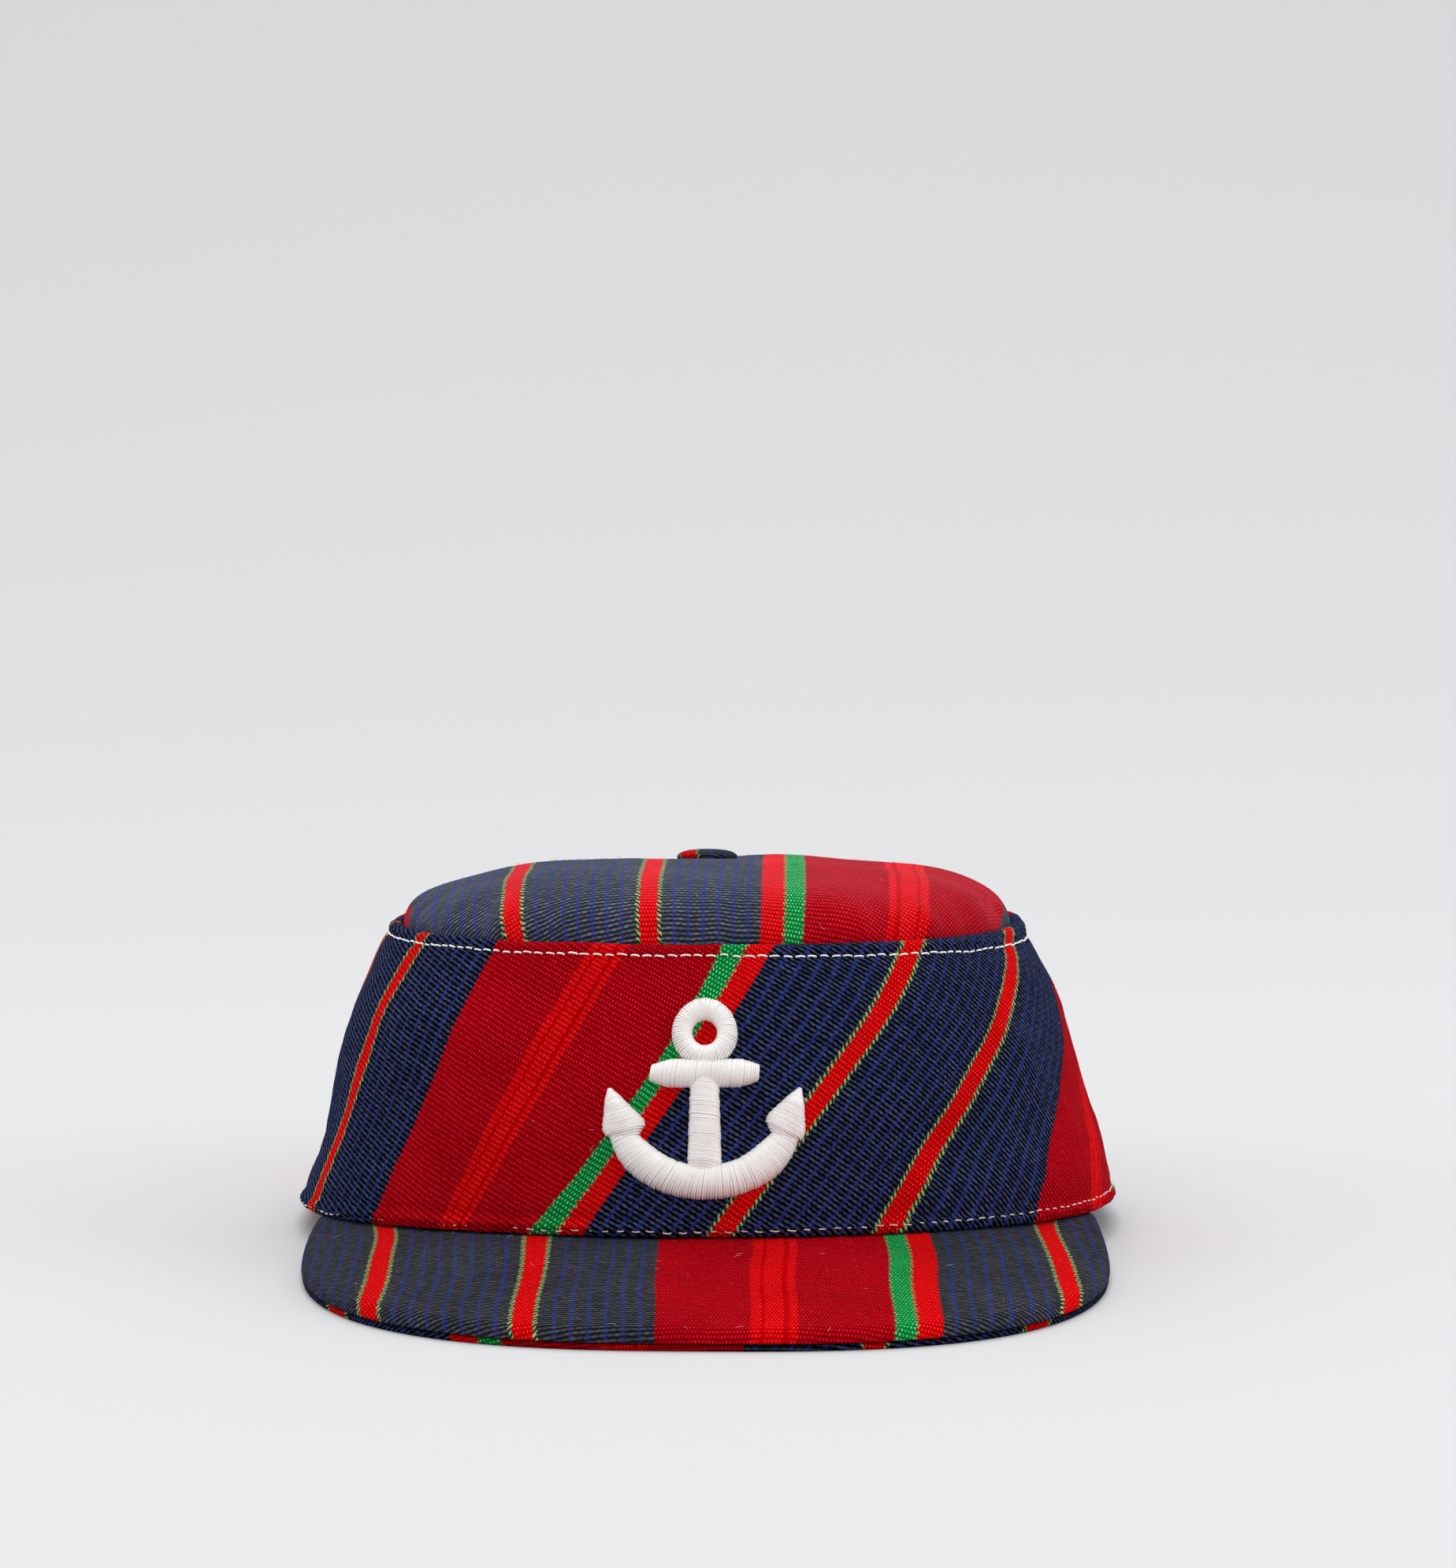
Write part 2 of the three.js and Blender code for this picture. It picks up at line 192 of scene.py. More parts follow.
# The stage, in metres: the floor runs back, then sweeps up into the backdrop.
FLOOR_HALF_WIDTH = 9.0
FLOOR_FRONT = (-3.0, -1.0, 0.0)
SWEEP_START = 0.55
SWEEP_RADIUS = 2.2
SWEEP_TURN = math.radians(68)
SOFT_LIGHTS = (
    # name, setting with its power, diameter, place, where it points
    ("light above", "above", 2.5, (0.0, 0.2, 3.0), (0.0, 0.6, 0.0)),
    ("left light", "left", 2.0, (-2.4, -0.35, 0.95), (0.0, 0.0, 0.04)),
    ("right light", "right", 2.0, (2.4, -0.6, 0.95), (0.0, 0.0, 0.04)),
)
WINDOW_SPREAD = math.radians(60)
WINDOW_TURN = (math.radians(-51), 0.0, math.radians(3))
SKY_TINT = (0.98, 0.985, 1.0, 1.0)

# The raised anchor, drawn flat in millimetres from its centre: x to the right, y up.
ANCHOR_RING = {"y": 13.6, "radius": 4.6, "width": 3.8}
ANCHOR_ARMS = {"y": 1.2, "radius": 17.4, "width": 6.4, "turn": math.radians(70)}
ANCHOR_STROKES = (
    # from, to, width at each end, lift over the other strokes
    ((0.0, 9.8), (0.0, -16.5), (5.0, 6.2), 0.0),
    ((-10.6, 5.6), (10.6, 5.6), (5.2, 5.2), 0.25),
    ((-14.2, -7.6), (-18.6, 2.4), (10.5, 0.8), 0.3),
    ((14.2, -7.6), (18.6, 2.4), (10.5, 0.8), 0.3),
)


def srgb(red, green, blue):
    """A linear colour from three display values of 0 to 255."""
    shares = np.array((red, green, blue)) / 255
    low = shares / 12.92
    high = ((shares + 0.055) / 1.055) ** 2.4
    return tuple(float(v) for v in np.where(shares <= 0.04045, low, high))


def length(name, description, millimetres):
    size = millimetres * MM
    return FloatProperty(name=name, description=description, default=size, unit="LENGTH", precision=4)


def colour(name, description, red, green, blue):
    tint = srgb(red, green, blue)
    return FloatVectorProperty(
        name=name, description=description, default=tint, subtype="COLOR", min=0.0, max=1.0, size=3
    )


def share(name, description, value):
    return FloatProperty(
        name=name, description=description, default=value, subtype="FACTOR", min=0.0, max=1.0
    )


def angle(name, description, degrees):
    turn = math.radians(degrees)
    return FloatProperty(name=name, description=description, default=turn, subtype="ANGLE")


def plain_number(name, description, value):
    return FloatProperty(name=name, description=description, default=value)


def count(name, description, value):
    return IntProperty(name=name, description=description, default=value, min=0)


class CapSizes(bpy.types.PropertyGroup):
    """Sizes of the crown and its top."""

    hem_half_width: length("Hem half width", "From the middle of the hem to its side", 88.6)
    hem_half_depth: length("Hem half depth", "From the middle of the hem to its front", 98.3)
    hem_front_rise: length("Hem front rise", "Height of the hem's front over its back", 11.4)
    hem_press: length("Hem press", "How far the soft hem is pressed flat", 0.4)
    hem_sag_left: length("Hem sag left", "How much lower the hem hangs at the left side", 2.0)
    hem_sag_right: length("Hem sag right", "How much lower the hem hangs at the right side", 0.7)
    wall_top: length("Wall top", "Height of the wall's folded edge", 64.2)
    hem_settle: length("Hem settle", "How far the hem comes down to rest on the visor", 0.38)
    wall_thick: length("Wall thickness", "Thickness of the wall's cloth and its backing", 2.4)
    panel_thick: length("Panel thickness", "Thickness of the top panel", 2.0)
    panel_drop: length("Panel drop", "How far the panel's rim lies below the folded edge", 2.6)
    dome_rise: length("Dome rise", "Height of the top panel's dome", 16.2)
    dome_fullness: plain_number("Dome fullness", "2 is an ellipse, more is a pillow", 2.8)
    lean_right: share("Lean to the right", "How much higher the dome stands to the right", 0.034)
    lean_front: share("Lean to the front", "How much higher the dome stands to the front", 0.3)
    dimple_depth: length("Dimple depth", "How far the button draws the panel down", 1.0)
    dimple_radius: length("Dimple radius", "Radius of that dimple", 12.0)
    button_radius: length("Button radius", "Radius of the covered button", 6.6)
    button_rise: length("Button rise", "Height of the covered button", 2.45)
    button_seat: length("Button seat", "From the floor of the dimple to the button's foot", 0.4)
    cloth_lumps: length("Cloth lumps", "Height of the cloth's soft unevenness", 0.28)
    fine_lumps: length("Fine lumps", "Height of the wall's finer unevenness", 0.06)
    edge_roll: length("Edge roll", "How far the folded edge stands out", 0.22)
    hem_ribs: length("Hem ribs", "Height of the ribs across the rolled hem", 0.15)
    back_seam: length("Back seam", "Depth of the closing seam at the back", 0.5)
    panel_puckers: length("Panel puckers", "Height of the puckers round the top", 0.3)
    panel_crease: length("Panel crease", "Height of the crease at the right of the top", 0.5)
    panel_flat: length("Panel flat", "How much lower the crest lies beside the button", 1.0)


class VisorSizes(bpy.types.PropertyGroup):
    """Sizes of the visor."""

    reach: length("Reach", "From the front of the hem to the visor's edge", 56.0)
    half_width: length("Half width", "From the visor's middle to its side", 80.5)
    end_angle: angle("End angle", "Where the visor ends round the hem, from the front", 60)
    squareness_left: plain_number("Left squareness", "Fullness of the left corner", 2.75)
    squareness_right: plain_number("Right squareness", "Fullness of the right corner", 2.78)
    skew: share("Skew", "How much further forward the edge reaches to the right", 0.028)
    cover: length("Cover", "Thickness of the upper cover", 2.4)
    thick: length("Thickness", "Both covers with the gap between them", 4.2)
    tuck: length("Tuck", "How far the visor reaches in under the hem", 3.4)
    crown: length("Crown", "Upward bulge halfway along the visor", 1.0)
    press: length("Press", "How far its soft lower edge is pressed flat", 0.5)
    bend: length("Bend", "Width of the roll over the front edge", 2.4)
    flat_depth: length("Flat depth", "The edge curls up this far in front of the visor's ends", 42.0)
    end_curl: plain_number("End curl", "Power of that curl", 1.6)
    lumps: length("Visor lumps", "Height of the soft unevenness of its cloth", 0.22)


class StitchSizes(bpy.types.PropertyGroup):
    """Sizes of the sewing thread, the satin thread and the loose fibres."""

    top_pitch: length("Top pitch", "From one stitch to the next below the folded edge", 2.5)
    top_length: length("Top length", "Length of a stitch below the folded edge", 1.62)
    top_radius: length("Top radius", "Radius of the thread below the folded edge", 0.175)
    hem_pitch: length("Hem pitch", "From one stitch to the next along the hem", 3.0)
    hem_length: length("Hem length", "Length of a stitch along the hem", 1.4)
    hem_radius: length("Hem radius", "Radius of the thread along the hem", 0.14)
    hem_hidden: length("Hem hidden", "How deep the hem's stitches lie at the left of the front", 0.34)
    top_line: share("Top line", "Rise of the stitch line below the folded edge", 0.977)
    top_drop: share("Top line drop", "How much lower that line runs at the right side", 0.022)
    hem_line: share("Hem line", "Rise of the stitch line along the hem", 0.015)
    hem_climb: share("Hem line climb", "How much higher that line runs at the right side", 0.028)
    top_sink: length("Top sink", "Depth of the seam below the folded edge", 0.42)
    hem_sink: length("Hem sink", "Depth of the seam along the hem", 0.4)
    satin_pitch: length("Satin pitch", "From one satin thread to the next", 0.42)
    satin_radius: length("Satin radius", "Radius of a satin thread", 0.25)
    satin_height: length("Satin height", "Height of the raised motif", 2.4)
    motif_rise: share("Motif rise", "Rise of the motif's middle on the wall", 0.47)
    nap_count: count("Nap count", "Number of short fibres of the cloth's nap", 3600)
    lint_count: count("Lint count", "Number of pale stray fibres", 90)


class ClothColours(bpy.types.PropertyGroup):
    """Colours of the cloth's stripes and of the threads."""

    crimson: colour("Crimson", "Wide crimson fields", 154, 0, 9)
    # The floats' lighter colours are partly their yarn and partly a painted highlight on their shiny yarn.
    crimson_fleck: colour("Crimson fleck", "Floats in the crimson fields", 238, 38, 66)
    red: colour("Red", "Narrow red stripes", 201, 0, 3)
    red_fleck: colour("Red fleck", "Floats in the red stripes", 248, 62, 68)
    green: colour("Green", "Green stripe", 4, 128, 52)
    green_fleck: colour("Green fleck", "Floats in the green stripe", 132, 238, 178)
    lime: colour("Lime", "Pale edges of the green and red stripes", 158, 176, 118)
    # Painted shade: the dark green in the grooves between the cords' twists.
    cord_shade: colour("Cord shade", "Dark green beside the pale edges", 14, 54, 26)
    # The wall, visor and top share one navy cloth; their own grounds and floats are lit and shaded copies:
    # painted light and sheen make the top's and visor's lighter and greyer, painted shade makes the wall's
    # darker.
    wall_ground: colour("Wall ground", "Dark fields on the wall", 5, 9, 27)
    wall_fleck: colour("Wall fleck", "Floats in the dark fields on the wall", 72, 78, 104)
    visor_ground: colour("Visor ground", "Dark fields on the visor", 31, 32, 39)
    top_ground: colour("Top ground", "Dark fields on the top panel", 36, 39, 48)
    top_fleck: colour("Top fleck", "Floats in the dark fields on the top panel", 100, 104, 116)
    visor_fleck: colour("Visor fleck", "Floats in the dark fields on the visor", 92, 91, 97)
    pinstripe: colour("Pinstripe", "Blue pinstripes in the dark fields", 42, 56, 130)
    thread: colour("Thread", "White satin and sewing thread", 253, 251, 248)
    hem_thread: colour("Hem thread", "Duller sewing thread along the hem", 222, 203, 194)
    lint: colour("Lint", "Pale stray fibres", 225, 200, 200)


class StageSettings(bpy.types.PropertyGroup):
    """The floor, the light and the camera."""

    distance: length("Camera distance", "From the crown's middle to the camera", 750)
    height: length("Camera height", "Height of the camera over the floor", 120)
    aside: length("Camera aside", "How far the camera stands to the right", 4.5)
    pitch: angle("Camera pitch", "How far the camera looks down", 2.0)
    focal: plain_number("Focal length", "In millimetres on a 36 mm frame", 84.94)
    floor: colour("Floor", "Pale floor and backdrop", 209, 209, 210)
    sky: plain_number("Sky", "Strength of the even light from all sides", 0.78)
    window: plain_number("Window", "Strength of the wide light from behind", 1.2)
    above: plain_number("Above", "Power of the soft light above, in watts", 27.0)
    left: plain_number("Left", "Power of the soft light at the left, in watts", 7.5)
    right: plain_number("Right", "Power of the soft light at the right, in watts", 15.0)


GROUPS = (
    ("cap_sizes", CapSizes),
    ("cap_visor", VisorSizes),
    ("cap_stitches", StitchSizes),
    ("cap_colours", ClothColours),
    ("cap_stage", StageSettings),
)


def settings(name):
    """The scene's settings of that group."""
    return getattr(bpy.context.scene, name)


def crown_y():
    """The crown's middle lies half of the visor's reach behind the origin."""
    return settings("cap_visor").reach / 2


# The shapes of the cap.


def smooth_table(rows, at):
    """Each column of rows after the first, followed smoothly at the stations of the first column."""
    stations = rows[:, 0]
    values = rows[:, 1:]
    slopes = np.gradient(values, stations, axis=0, edge_order=1)
    at = np.clip(np.asarray(at, float), stations[0], stations[-1])
    low = np.clip(np.searchsorted(stations, at, side="right") - 1, 0, len(stations) - 2)
    span = stations[low + 1] - stations[low]
    t = ((at - stations[low]) / span)[..., None]
    span = span[..., None]
    start = (2 * t**3 - 3 * t**2 + 1) * values[low] + (t**3 - 2 * t**2 + t) * span * slopes[low]
    end = (3 * t**2 - 2 * t**3) * values[low + 1] + (t**3 - t**2) * span * slopes[low + 1]
    return np.moveaxis(start + end, -1, 0)


def run_along(points):
    """The length along a line of points, up to each of them."""
    steps = np.linalg.norm(np.diff(points, axis=0), axis=1)
    return np.concatenate(([0.0], np.cumsum(steps)))


def unit(vectors):
    """The vectors at a length of one."""
    size = np.linalg.norm(vectors, axis=-1, keepdims=True)
    return vectors / np.maximum(size, 1e-12)


def oval_radius(turn, half_width, half_depth, squareness):
    """The radius of a rounded oval. A squareness of 2 is an ellipse."""
    across = np.abs(np.sin(turn)) / half_width
    along = np.abs(np.cos(turn)) / half_depth
    return (across**squareness + along**squareness) ** (-1 / squareness)


def hem_height(x, y):
    """The hem leans back onto the table and sags at the sides."""
    sizes = settings("cap_sizes")
    lean = (crown_y() + sizes.hem_half_depth - y) / (2 * sizes.hem_half_depth)
    sag = np.where(x < 0, sizes.hem_sag_left, sizes.hem_sag_right)
    return lean * sizes.hem_front_rise - sizes.hem_press - sag * (x / sizes.hem_half_width) ** 4


def dent_depth(turn, rise):
    """How far the wall's soft dents go in."""
    degrees = np.degrees((turn + np.pi) % (2 * np.pi) - np.pi)
    depth = 0.0
    for at, spread, height, tall, deep in DENTS:
        depth = depth + deep * np.exp(-(((degrees - at) / spread) ** 2) - ((rise - height) / tall) ** 2)
    return depth


def wall_point(turn, rise, inset=0.0):
    """Points of the wall. turn is round the crown from the front towards +X, inset is inwards."""
    sizes = settings("cap_sizes")
    turn, rise, inset = np.broadcast_arrays(*(np.asarray(v, float) for v in (turn, rise, inset)))
    width, depth, squareness = smooth_table(WALL_LEVELS, rise)
    margin = inset + dent_depth(turn, rise)
    radius = oval_radius(
        turn, width * sizes.hem_half_width - margin, depth * sizes.hem_half_depth - margin, squareness
    )
    x = radius * np.sin(turn)
    y = crown_y() - radius * np.cos(turn)
    low = hem_height(x, y)
    z = np.maximum(0.0, low + (sizes.wall_top - low) * rise)
    return np.stack((x, y, z), axis=-1)


def dome_point(turn, climb, inset):
    """Points of the dome. climb runs from the rim, 0, to the apex, a right angle."""
    sizes = settings("cap_sizes")
    width, depth, squareness = smooth_table(WALL_LEVELS, 1.0)
    width = width * sizes.hem_half_width
    depth = depth * sizes.hem_half_depth
    margin = sizes.wall_thick + GAP + inset
    power = 2 / sizes.dome_fullness
    out = np.maximum(np.cos(climb), 0.0) ** power
    radius = out * oval_radius(turn, width - margin, depth - margin, 2 + (squareness - 2) * out)
    x = radius * np.sin(turn)
    y = -radius * np.cos(turn)
    lean = 1 + sizes.lean_right * x / width - sizes.lean_front * y / depth
    rise = lean * (sizes.dome_rise - inset) * np.sin(climb) ** power
    dimple = sizes.dimple_depth * np.exp(-((radius / sizes.dimple_radius) ** 4))
    return np.stack((x, crown_y() + y, sizes.wall_top - sizes.panel_drop + rise - dimple), axis=-1)


def visor_ribs(side):
    """Where the visor's ribs start under the hem and end at its edge. side runs from -1, left, to 1."""
    sizes = settings("cap_visor")
    crown = settings("cap_sizes")
    end_y = wall_point(sizes.end_angle, 0.0)[1]
    depth = end_y - (crown_y() - crown.hem_half_depth - sizes.reach)
    inner = wall_point(side * sizes.end_angle, 0.0, sizes.tuck)
    turn = side * np.pi / 2
    squareness = sizes.squareness_left + (sizes.squareness_right - sizes.squareness_left) * (1 + side) / 2
    radius = oval_radius(turn, sizes.half_width, depth, squareness)
    x = radius * np.sin(turn)
    y = end_y - radius * np.cos(turn)
    curl = np.maximum(0.0, 1 - (end_y - y) / sizes.flat_depth) ** sizes.end_curl
    inner_top = hem_height(inner[:, 0], inner[:, 1]) - GAP
    y = y - sizes.skew * x * (1 - curl) * np.cos(turn)
    z = -sizes.press + (inner_top - sizes.thick + sizes.press) * curl + sizes.thick
    inner[:, 2] = inner_top
    return inner, np.stack((x, y, z), axis=-1)


def visor_point(inner, edge, inset, depth):
    """Points along the ribs. inset is back from the edge, depth is down from the upper surface."""
    sizes = settings("cap_visor")
    span = np.hypot(edge[:, 0] - inner[:, 0], edge[:, 1] - inner[:, 1])[:, None]
    along = 1 - inset / span
    point = inner[:, None] + (edge - inner)[:, None] * along[..., None]
    crown = sizes.crown * np.minimum(1.0, span / sizes.reach) * np.sin(np.pi * along)
    point[..., 2] = np.maximum(0.0, point[..., 2] + crown - depth)
    return point


def ripple(u, v, seed, waves=9):
    """Smooth unevenness of about -1 to 1, with about one wave per unit of u and v."""
    chance = np.random.RandomState(seed)
    total = 0.0
    for _ in range(waves):
        heading = chance.uniform(0, 2 * np.pi)
        pace = chance.uniform(0.6, 1.7) * 2 * np.pi
        start = chance.uniform(0, 2 * np.pi)
        total = total + np.sin(pace * (u * np.cos(heading) + v * np.sin(heading)) + start)
    return total / waves**0.5


def step(x, low, high):
    """A smooth change from 0 at low to 1 at high."""
    t = np.clip((x - low) / (high - low), 0, 1)
    return t * t * (3 - 2 * t)


def grid_normals(points, wrap_rows=False):
    """Outward normals of a grid whose columns run round the shape and whose rows run along its skin."""
    if wrap_rows:
        along = np.roll(points, -1, 0) - np.roll(points, 1, 0)
    else:
        along = np.gradient(points, axis=0)
    around = np.gradient(points, axis=1)
    return unit(np.cross(around, along))


# Meshes.


def grid_mesh(name, points, cloth, wrap_rows=False, wrap_columns=False):
    """A mesh from a grid of points, with the map of flat cloth places in metres.

    A wrapped grid gives its last row or column twice in cloth only, so that the map may jump there.
    """
    rows, columns = points.shape[:2]
    last_row = rows if wrap_rows else rows - 1
    last_column = columns if wrap_columns else columns - 1
    i, j = (v.ravel() for v in np.meshgrid(np.arange(last_row), np.arange(last_column), indexing="ij"))
    corners = ((i, j), (i, j + 1), (i + 1, j + 1), (i + 1, j))
    index = np.stack([(a % rows) * columns + b % columns for a, b in corners], axis=1)
    places = np.stack([cloth[a, b] for a, b in corners], axis=1)
    mesh = bpy.data.meshes.new(name)
    mesh.from_pydata(points.reshape(-1, 3).tolist(), [], index.tolist())
    uv = mesh.uv_layers.new(name="cloth")
    uv.data.foreach_set("uv", places.reshape(-1).astype(np.float32))
    shape = bmesh.new()
    shape.from_mesh(mesh)
    bmesh.ops.remove_doubles(shape, verts=shape.verts, dist=1e-7)
    shape.to_mesh(mesh)
    shape.free()
    mesh.polygons.foreach_set("use_smooth", np.ones(len(mesh.polygons), bool))
    mesh.validate()
    mesh.update()
    return mesh


def add_piece(name, mesh, material=None):
    """An object at the origin for a mesh, in the material if one is given."""
    piece = bpy.data.objects.new(name, mesh)
    bpy.context.collection.objects.link(piece)
    if material is not None:
        mesh.materials.clear()
        mesh.materials.append(material)
    return piece


def edge_mesh(name, paths, **attributes):
    """A mesh of bare polylines. Each attribute holds a vector or a colour for each point."""
    points = np.concatenate(paths)
    edges = []
    start = 0
    for path in paths:
        edges += [(k, k + 1) for k in range(start, start + len(path) - 1)]
        start += len(path)
    mesh = bpy.data.meshes.new(name)
    mesh.from_pydata(points.tolist(), edges, [])
    write_attributes(mesh, **attributes)
    return mesh


def write_attributes(mesh, **attributes):
    """Writes vectors or colours on the points of a mesh, each under its own label."""
    kinds = {3: ("FLOAT_VECTOR", "vector"), 4: ("FLOAT_COLOR", "color")}
    for label, values in attributes.items():
        values = np.asarray(values, np.float32)
        kind, field = kinds[values.shape[1]]
        mesh.attributes.new(label, kind, "POINT").data.foreach_set(field, values.ravel())


# Node trees.


class Wiring:
    """Short ways to add nodes to a tree and join them."""

    def __init__(self, tree):
        self.tree = tree

    def node(self, kind, **sockets):
        made = self.tree.nodes.new(kind)
        for label, value in sockets.items():
            self.join(made.inputs[label.replace("_", " ")], value)
        return made

    def join(self, socket, value):
        if isinstance(value, bpy.types.NodeSocket):
            self.tree.links.new(value, socket)
        else:
            socket.default_value = value

    def math(self, operation, *values):
        made = self.tree.nodes.new("ShaderNodeMath")
        made.operation = operation
        for socket, value in zip(made.inputs, values):
            self.join(socket, value)
        return made.outputs[0]

    def mix(self, amount, first, second, blend="MIX"):
        made = self.tree.nodes.new("ShaderNodeMix")
        made.data_type = "RGBA"
        made.blend_type = blend
        self.join(made.inputs[0], amount)
        self.join(made.inputs[6], first)
        self.join(made.inputs[7], second)
        return made.outputs[2]

    def fade(self, value, low, high, to_low=0.0, to_high=1.0):
        made = self.tree.nodes.new("ShaderNodeMapRange")
        made.interpolation_type = "SMOOTHSTEP"
        for socket, v in zip(made.inputs, (value, low, high, to_low, to_high)):
            self.join(socket, v)
        return made.outputs[0]

    def noise(self, vector, scale, detail=2.0, roughness=0.5):
        made = self.node("ShaderNodeTexNoise", Vector=vector, Scale=scale, Detail=detail, Roughness=roughness)
        return made.outputs[0]


def node_tree(name, kind, inputs, outputs):
    """An empty tree with named sockets: its wiring, and the sockets of its input and output nodes."""
    tree = bpy.data.node_groups.new(name, kind)
    for direction, sockets in (("INPUT", inputs), ("OUTPUT", outputs)):
        for label, socket in sockets:
            tree.interface.new_socket(label, in_out=direction, socket_type="NodeSocket" + socket)
    return Wiring(tree), tree.nodes.new("NodeGroupInput").outputs, tree.nodes.new("NodeGroupOutput").inputs


def geometry_tree(name, *sizes):
    """A geometry tree with inputs for its sizes, the sides of its threads and their material."""
    inputs = [("Geometry", "Geometry")]
    inputs += [(label, "Float") for label in sizes]
    inputs += [("Sides", "Int"), ("Material", "Material")]
    return node_tree(name, "GeometryNodeTree", inputs, [("Geometry", "Geometry")])


def thread_along(w, given, line):
    """A round thread along a curve."""
    circle = w.node("GeometryNodeCurvePrimitiveCircle", Radius=given["Radius"], Resolution=given["Sides"])
    profile = circle.outputs["Curve"]
    tube = w.node("GeometryNodeCurveToMesh", Curve=line, Profile_Curve=profile, Fill_Caps=True)
    return tube.outputs["Mesh"]


def end_tree(w, geometry, given, out):
    """Realizes the geometry, shades it smooth and gives it the tree's material input."""
    real = w.node("GeometryNodeRealizeInstances", Geometry=geometry).outputs["Geometry"]
    smooth = w.node("GeometryNodeSetShadeSmooth", Geometry=real).outputs["Geometry"]
    paint = w.node("GeometryNodeSetMaterial", Geometry=smooth, Material=given["Material"])
    w.join(out["Geometry"], paint.outputs["Geometry"])
    return w.tree


def thread_tree(name):
    """Round threads along the polylines of a mesh."""
    w, given, out = geometry_tree(name, "Radius")
    line = w.node("GeometryNodeMeshToCurve", Mesh=given["Geometry"]).outputs["Curve"]
    return end_tree(w, thread_along(w, given, line), given, out)


def point_vector(w, label):
    """The vector of that label on each point."""
    made = w.node("GeometryNodeInputNamedAttribute")
    made.data_type = "FLOAT_VECTOR"
    w.join(made.inputs["Name"], label)
    return made.outputs["Attribute"]


def stitch_tree():
    """One arched stitch on each point, laid along the point's seam and thinner at its ends."""
    w, given, out = geometry_tree("Stitches", "Length", "Radius")
    arch = w.node("GeometryNodeCurvePrimitiveBezierSegment", Resolution=6)
    for label, (length_share, radius_share) in STITCH_ARCH.items():
        along = w.math("MULTIPLY", given["Length"], length_share)
        up = w.math("MULTIPLY", given["Radius"], radius_share)
        w.join(arch.inputs[label], w.node("ShaderNodeCombineXYZ", X=along, Z=up).outputs[0])
    run = w.node("GeometryNodeSplineParameter").outputs["Factor"]
    taper = w.node("ShaderNodeFloatCurve", Value=run)
    shape = taper.mapping.curves[0].points
    shape[0].location = (0.0, 0.35)
    shape[1].location = (1.0, 0.35)
    shape.new(0.5, 1.0)
    taper.mapping.update()
    thick = taper.outputs["Value"]
    spindle = w.node("GeometryNodeSetCurveRadius", Curve=arch.outputs["Curve"], Radius=thick)
    stitch = thread_along(w, given, spindle.outputs["Curve"])
    turn = w.node("FunctionNodeAxesToRotation")
    turn.primary_axis = "Z"
    turn.secondary_axis = "X"
    w.join(turn.inputs["Primary Axis"], point_vector(w, "out"))
    w.join(turn.inputs["Secondary Axis"], point_vector(w, "along"))
    spread = w.node(
        "GeometryNodeInstanceOnPoints",
        Points=given["Geometry"],
        Instance=stitch,
        Rotation=turn.outputs["Rotation"],
        Scale=point_vector(w, "size"),
    )
    return end_tree(w, spread.outputs["Instances"], given, out)


def grow(piece, tree, **values):
    """Runs a tree on a piece and keeps its result as a plain mesh."""
    modifier = piece.modifiers.new(tree.name, "NODES")
    modifier.node_group = tree
    sockets = {s.name: s.identifier for s in tree.interface.items_tree if s.in_out == "INPUT"}
    for label, value in values.items():
        modifier[sockets[label]] = value
    graph = bpy.context.evaluated_depsgraph_get()
    made = bpy.data.meshes.new_from_object(piece.evaluated_get(graph), depsgraph=graph)
    piece.modifiers.clear()
    bare = piece.data
    piece.data = made
    bpy.data.meshes.remove(bare)
    if not len(made.polygons):
        raise RuntimeError(piece.name + " came out empty")
    return piece


# Shader node groups and materials.


def float_group():
    """Staggered short floats of yarn: a mask of them and a chance value for each."""
    sizes = ("Across", "Along", "Pitch across", "Pitch along", "Width", "Length")
    w, given, out = node_tree(
        "Woven floats",
        "ShaderNodeTree",
        [(label, "Float") for label in sizes],
        [("Mask", "Float"), ("Chance", "Float")],
    )
    rows = w.math("DIVIDE", given["Along"], given["Pitch along"])
    row = w.math("FLOOR", rows)
    stagger = w.math("FRACT", w.math("MULTIPLY", row, 0.5))
    cells = w.math("ADD", w.math("DIVIDE", given["Across"], given["Pitch across"]), stagger)
    aside = w.math("MULTIPLY", w.math("SUBTRACT", w.math("FRACT", cells), 0.5), given["Pitch across"])
    ahead = w.math("MULTIPLY", w.math("SUBTRACT", w.math("FRACT", rows), 0.5), given["Pitch along"])
    near = w.math("POWER", w.math("DIVIDE", aside, w.math("MULTIPLY", given["Width"], 0.5)), 2.0)
    far = w.math("POWER", w.math("DIVIDE", ahead, w.math("MULTIPLY", given["Length"], 0.5)), 2.0)
    reach = w.math("SQRT", w.math("ADD", near, far))
    cell = w.node("ShaderNodeCombineXYZ", X=w.math("FLOOR", cells), Y=row)
    chance = w.node("ShaderNodeTexWhiteNoise", Vector=cell.outputs[0])
    w.join(out["Mask"], w.fade(reach, 1.3, 0.7))
    w.join(out["Chance"], chance.outputs["Value"])
    return w.tree


def stripe_ramp(w, place, tint):
    """The stripe repeat as a ramp, one flat stop for each stripe. The dark fields have an alpha of one."""
    ramp = w.node("ShaderNodeValToRGB", Fac=place)
    band = ramp.color_ramp
    band.interpolation = "CONSTANT"
    for at, kind in STRIPES:
        stop = band.elements[0] if at == 0.0 else band.elements.new(at / REPEAT)
        stop.color = (*tint[kind], 1.0 if kind == "ground" else 0.0)
    band.elements.remove(band.elements[-1])
    return ramp


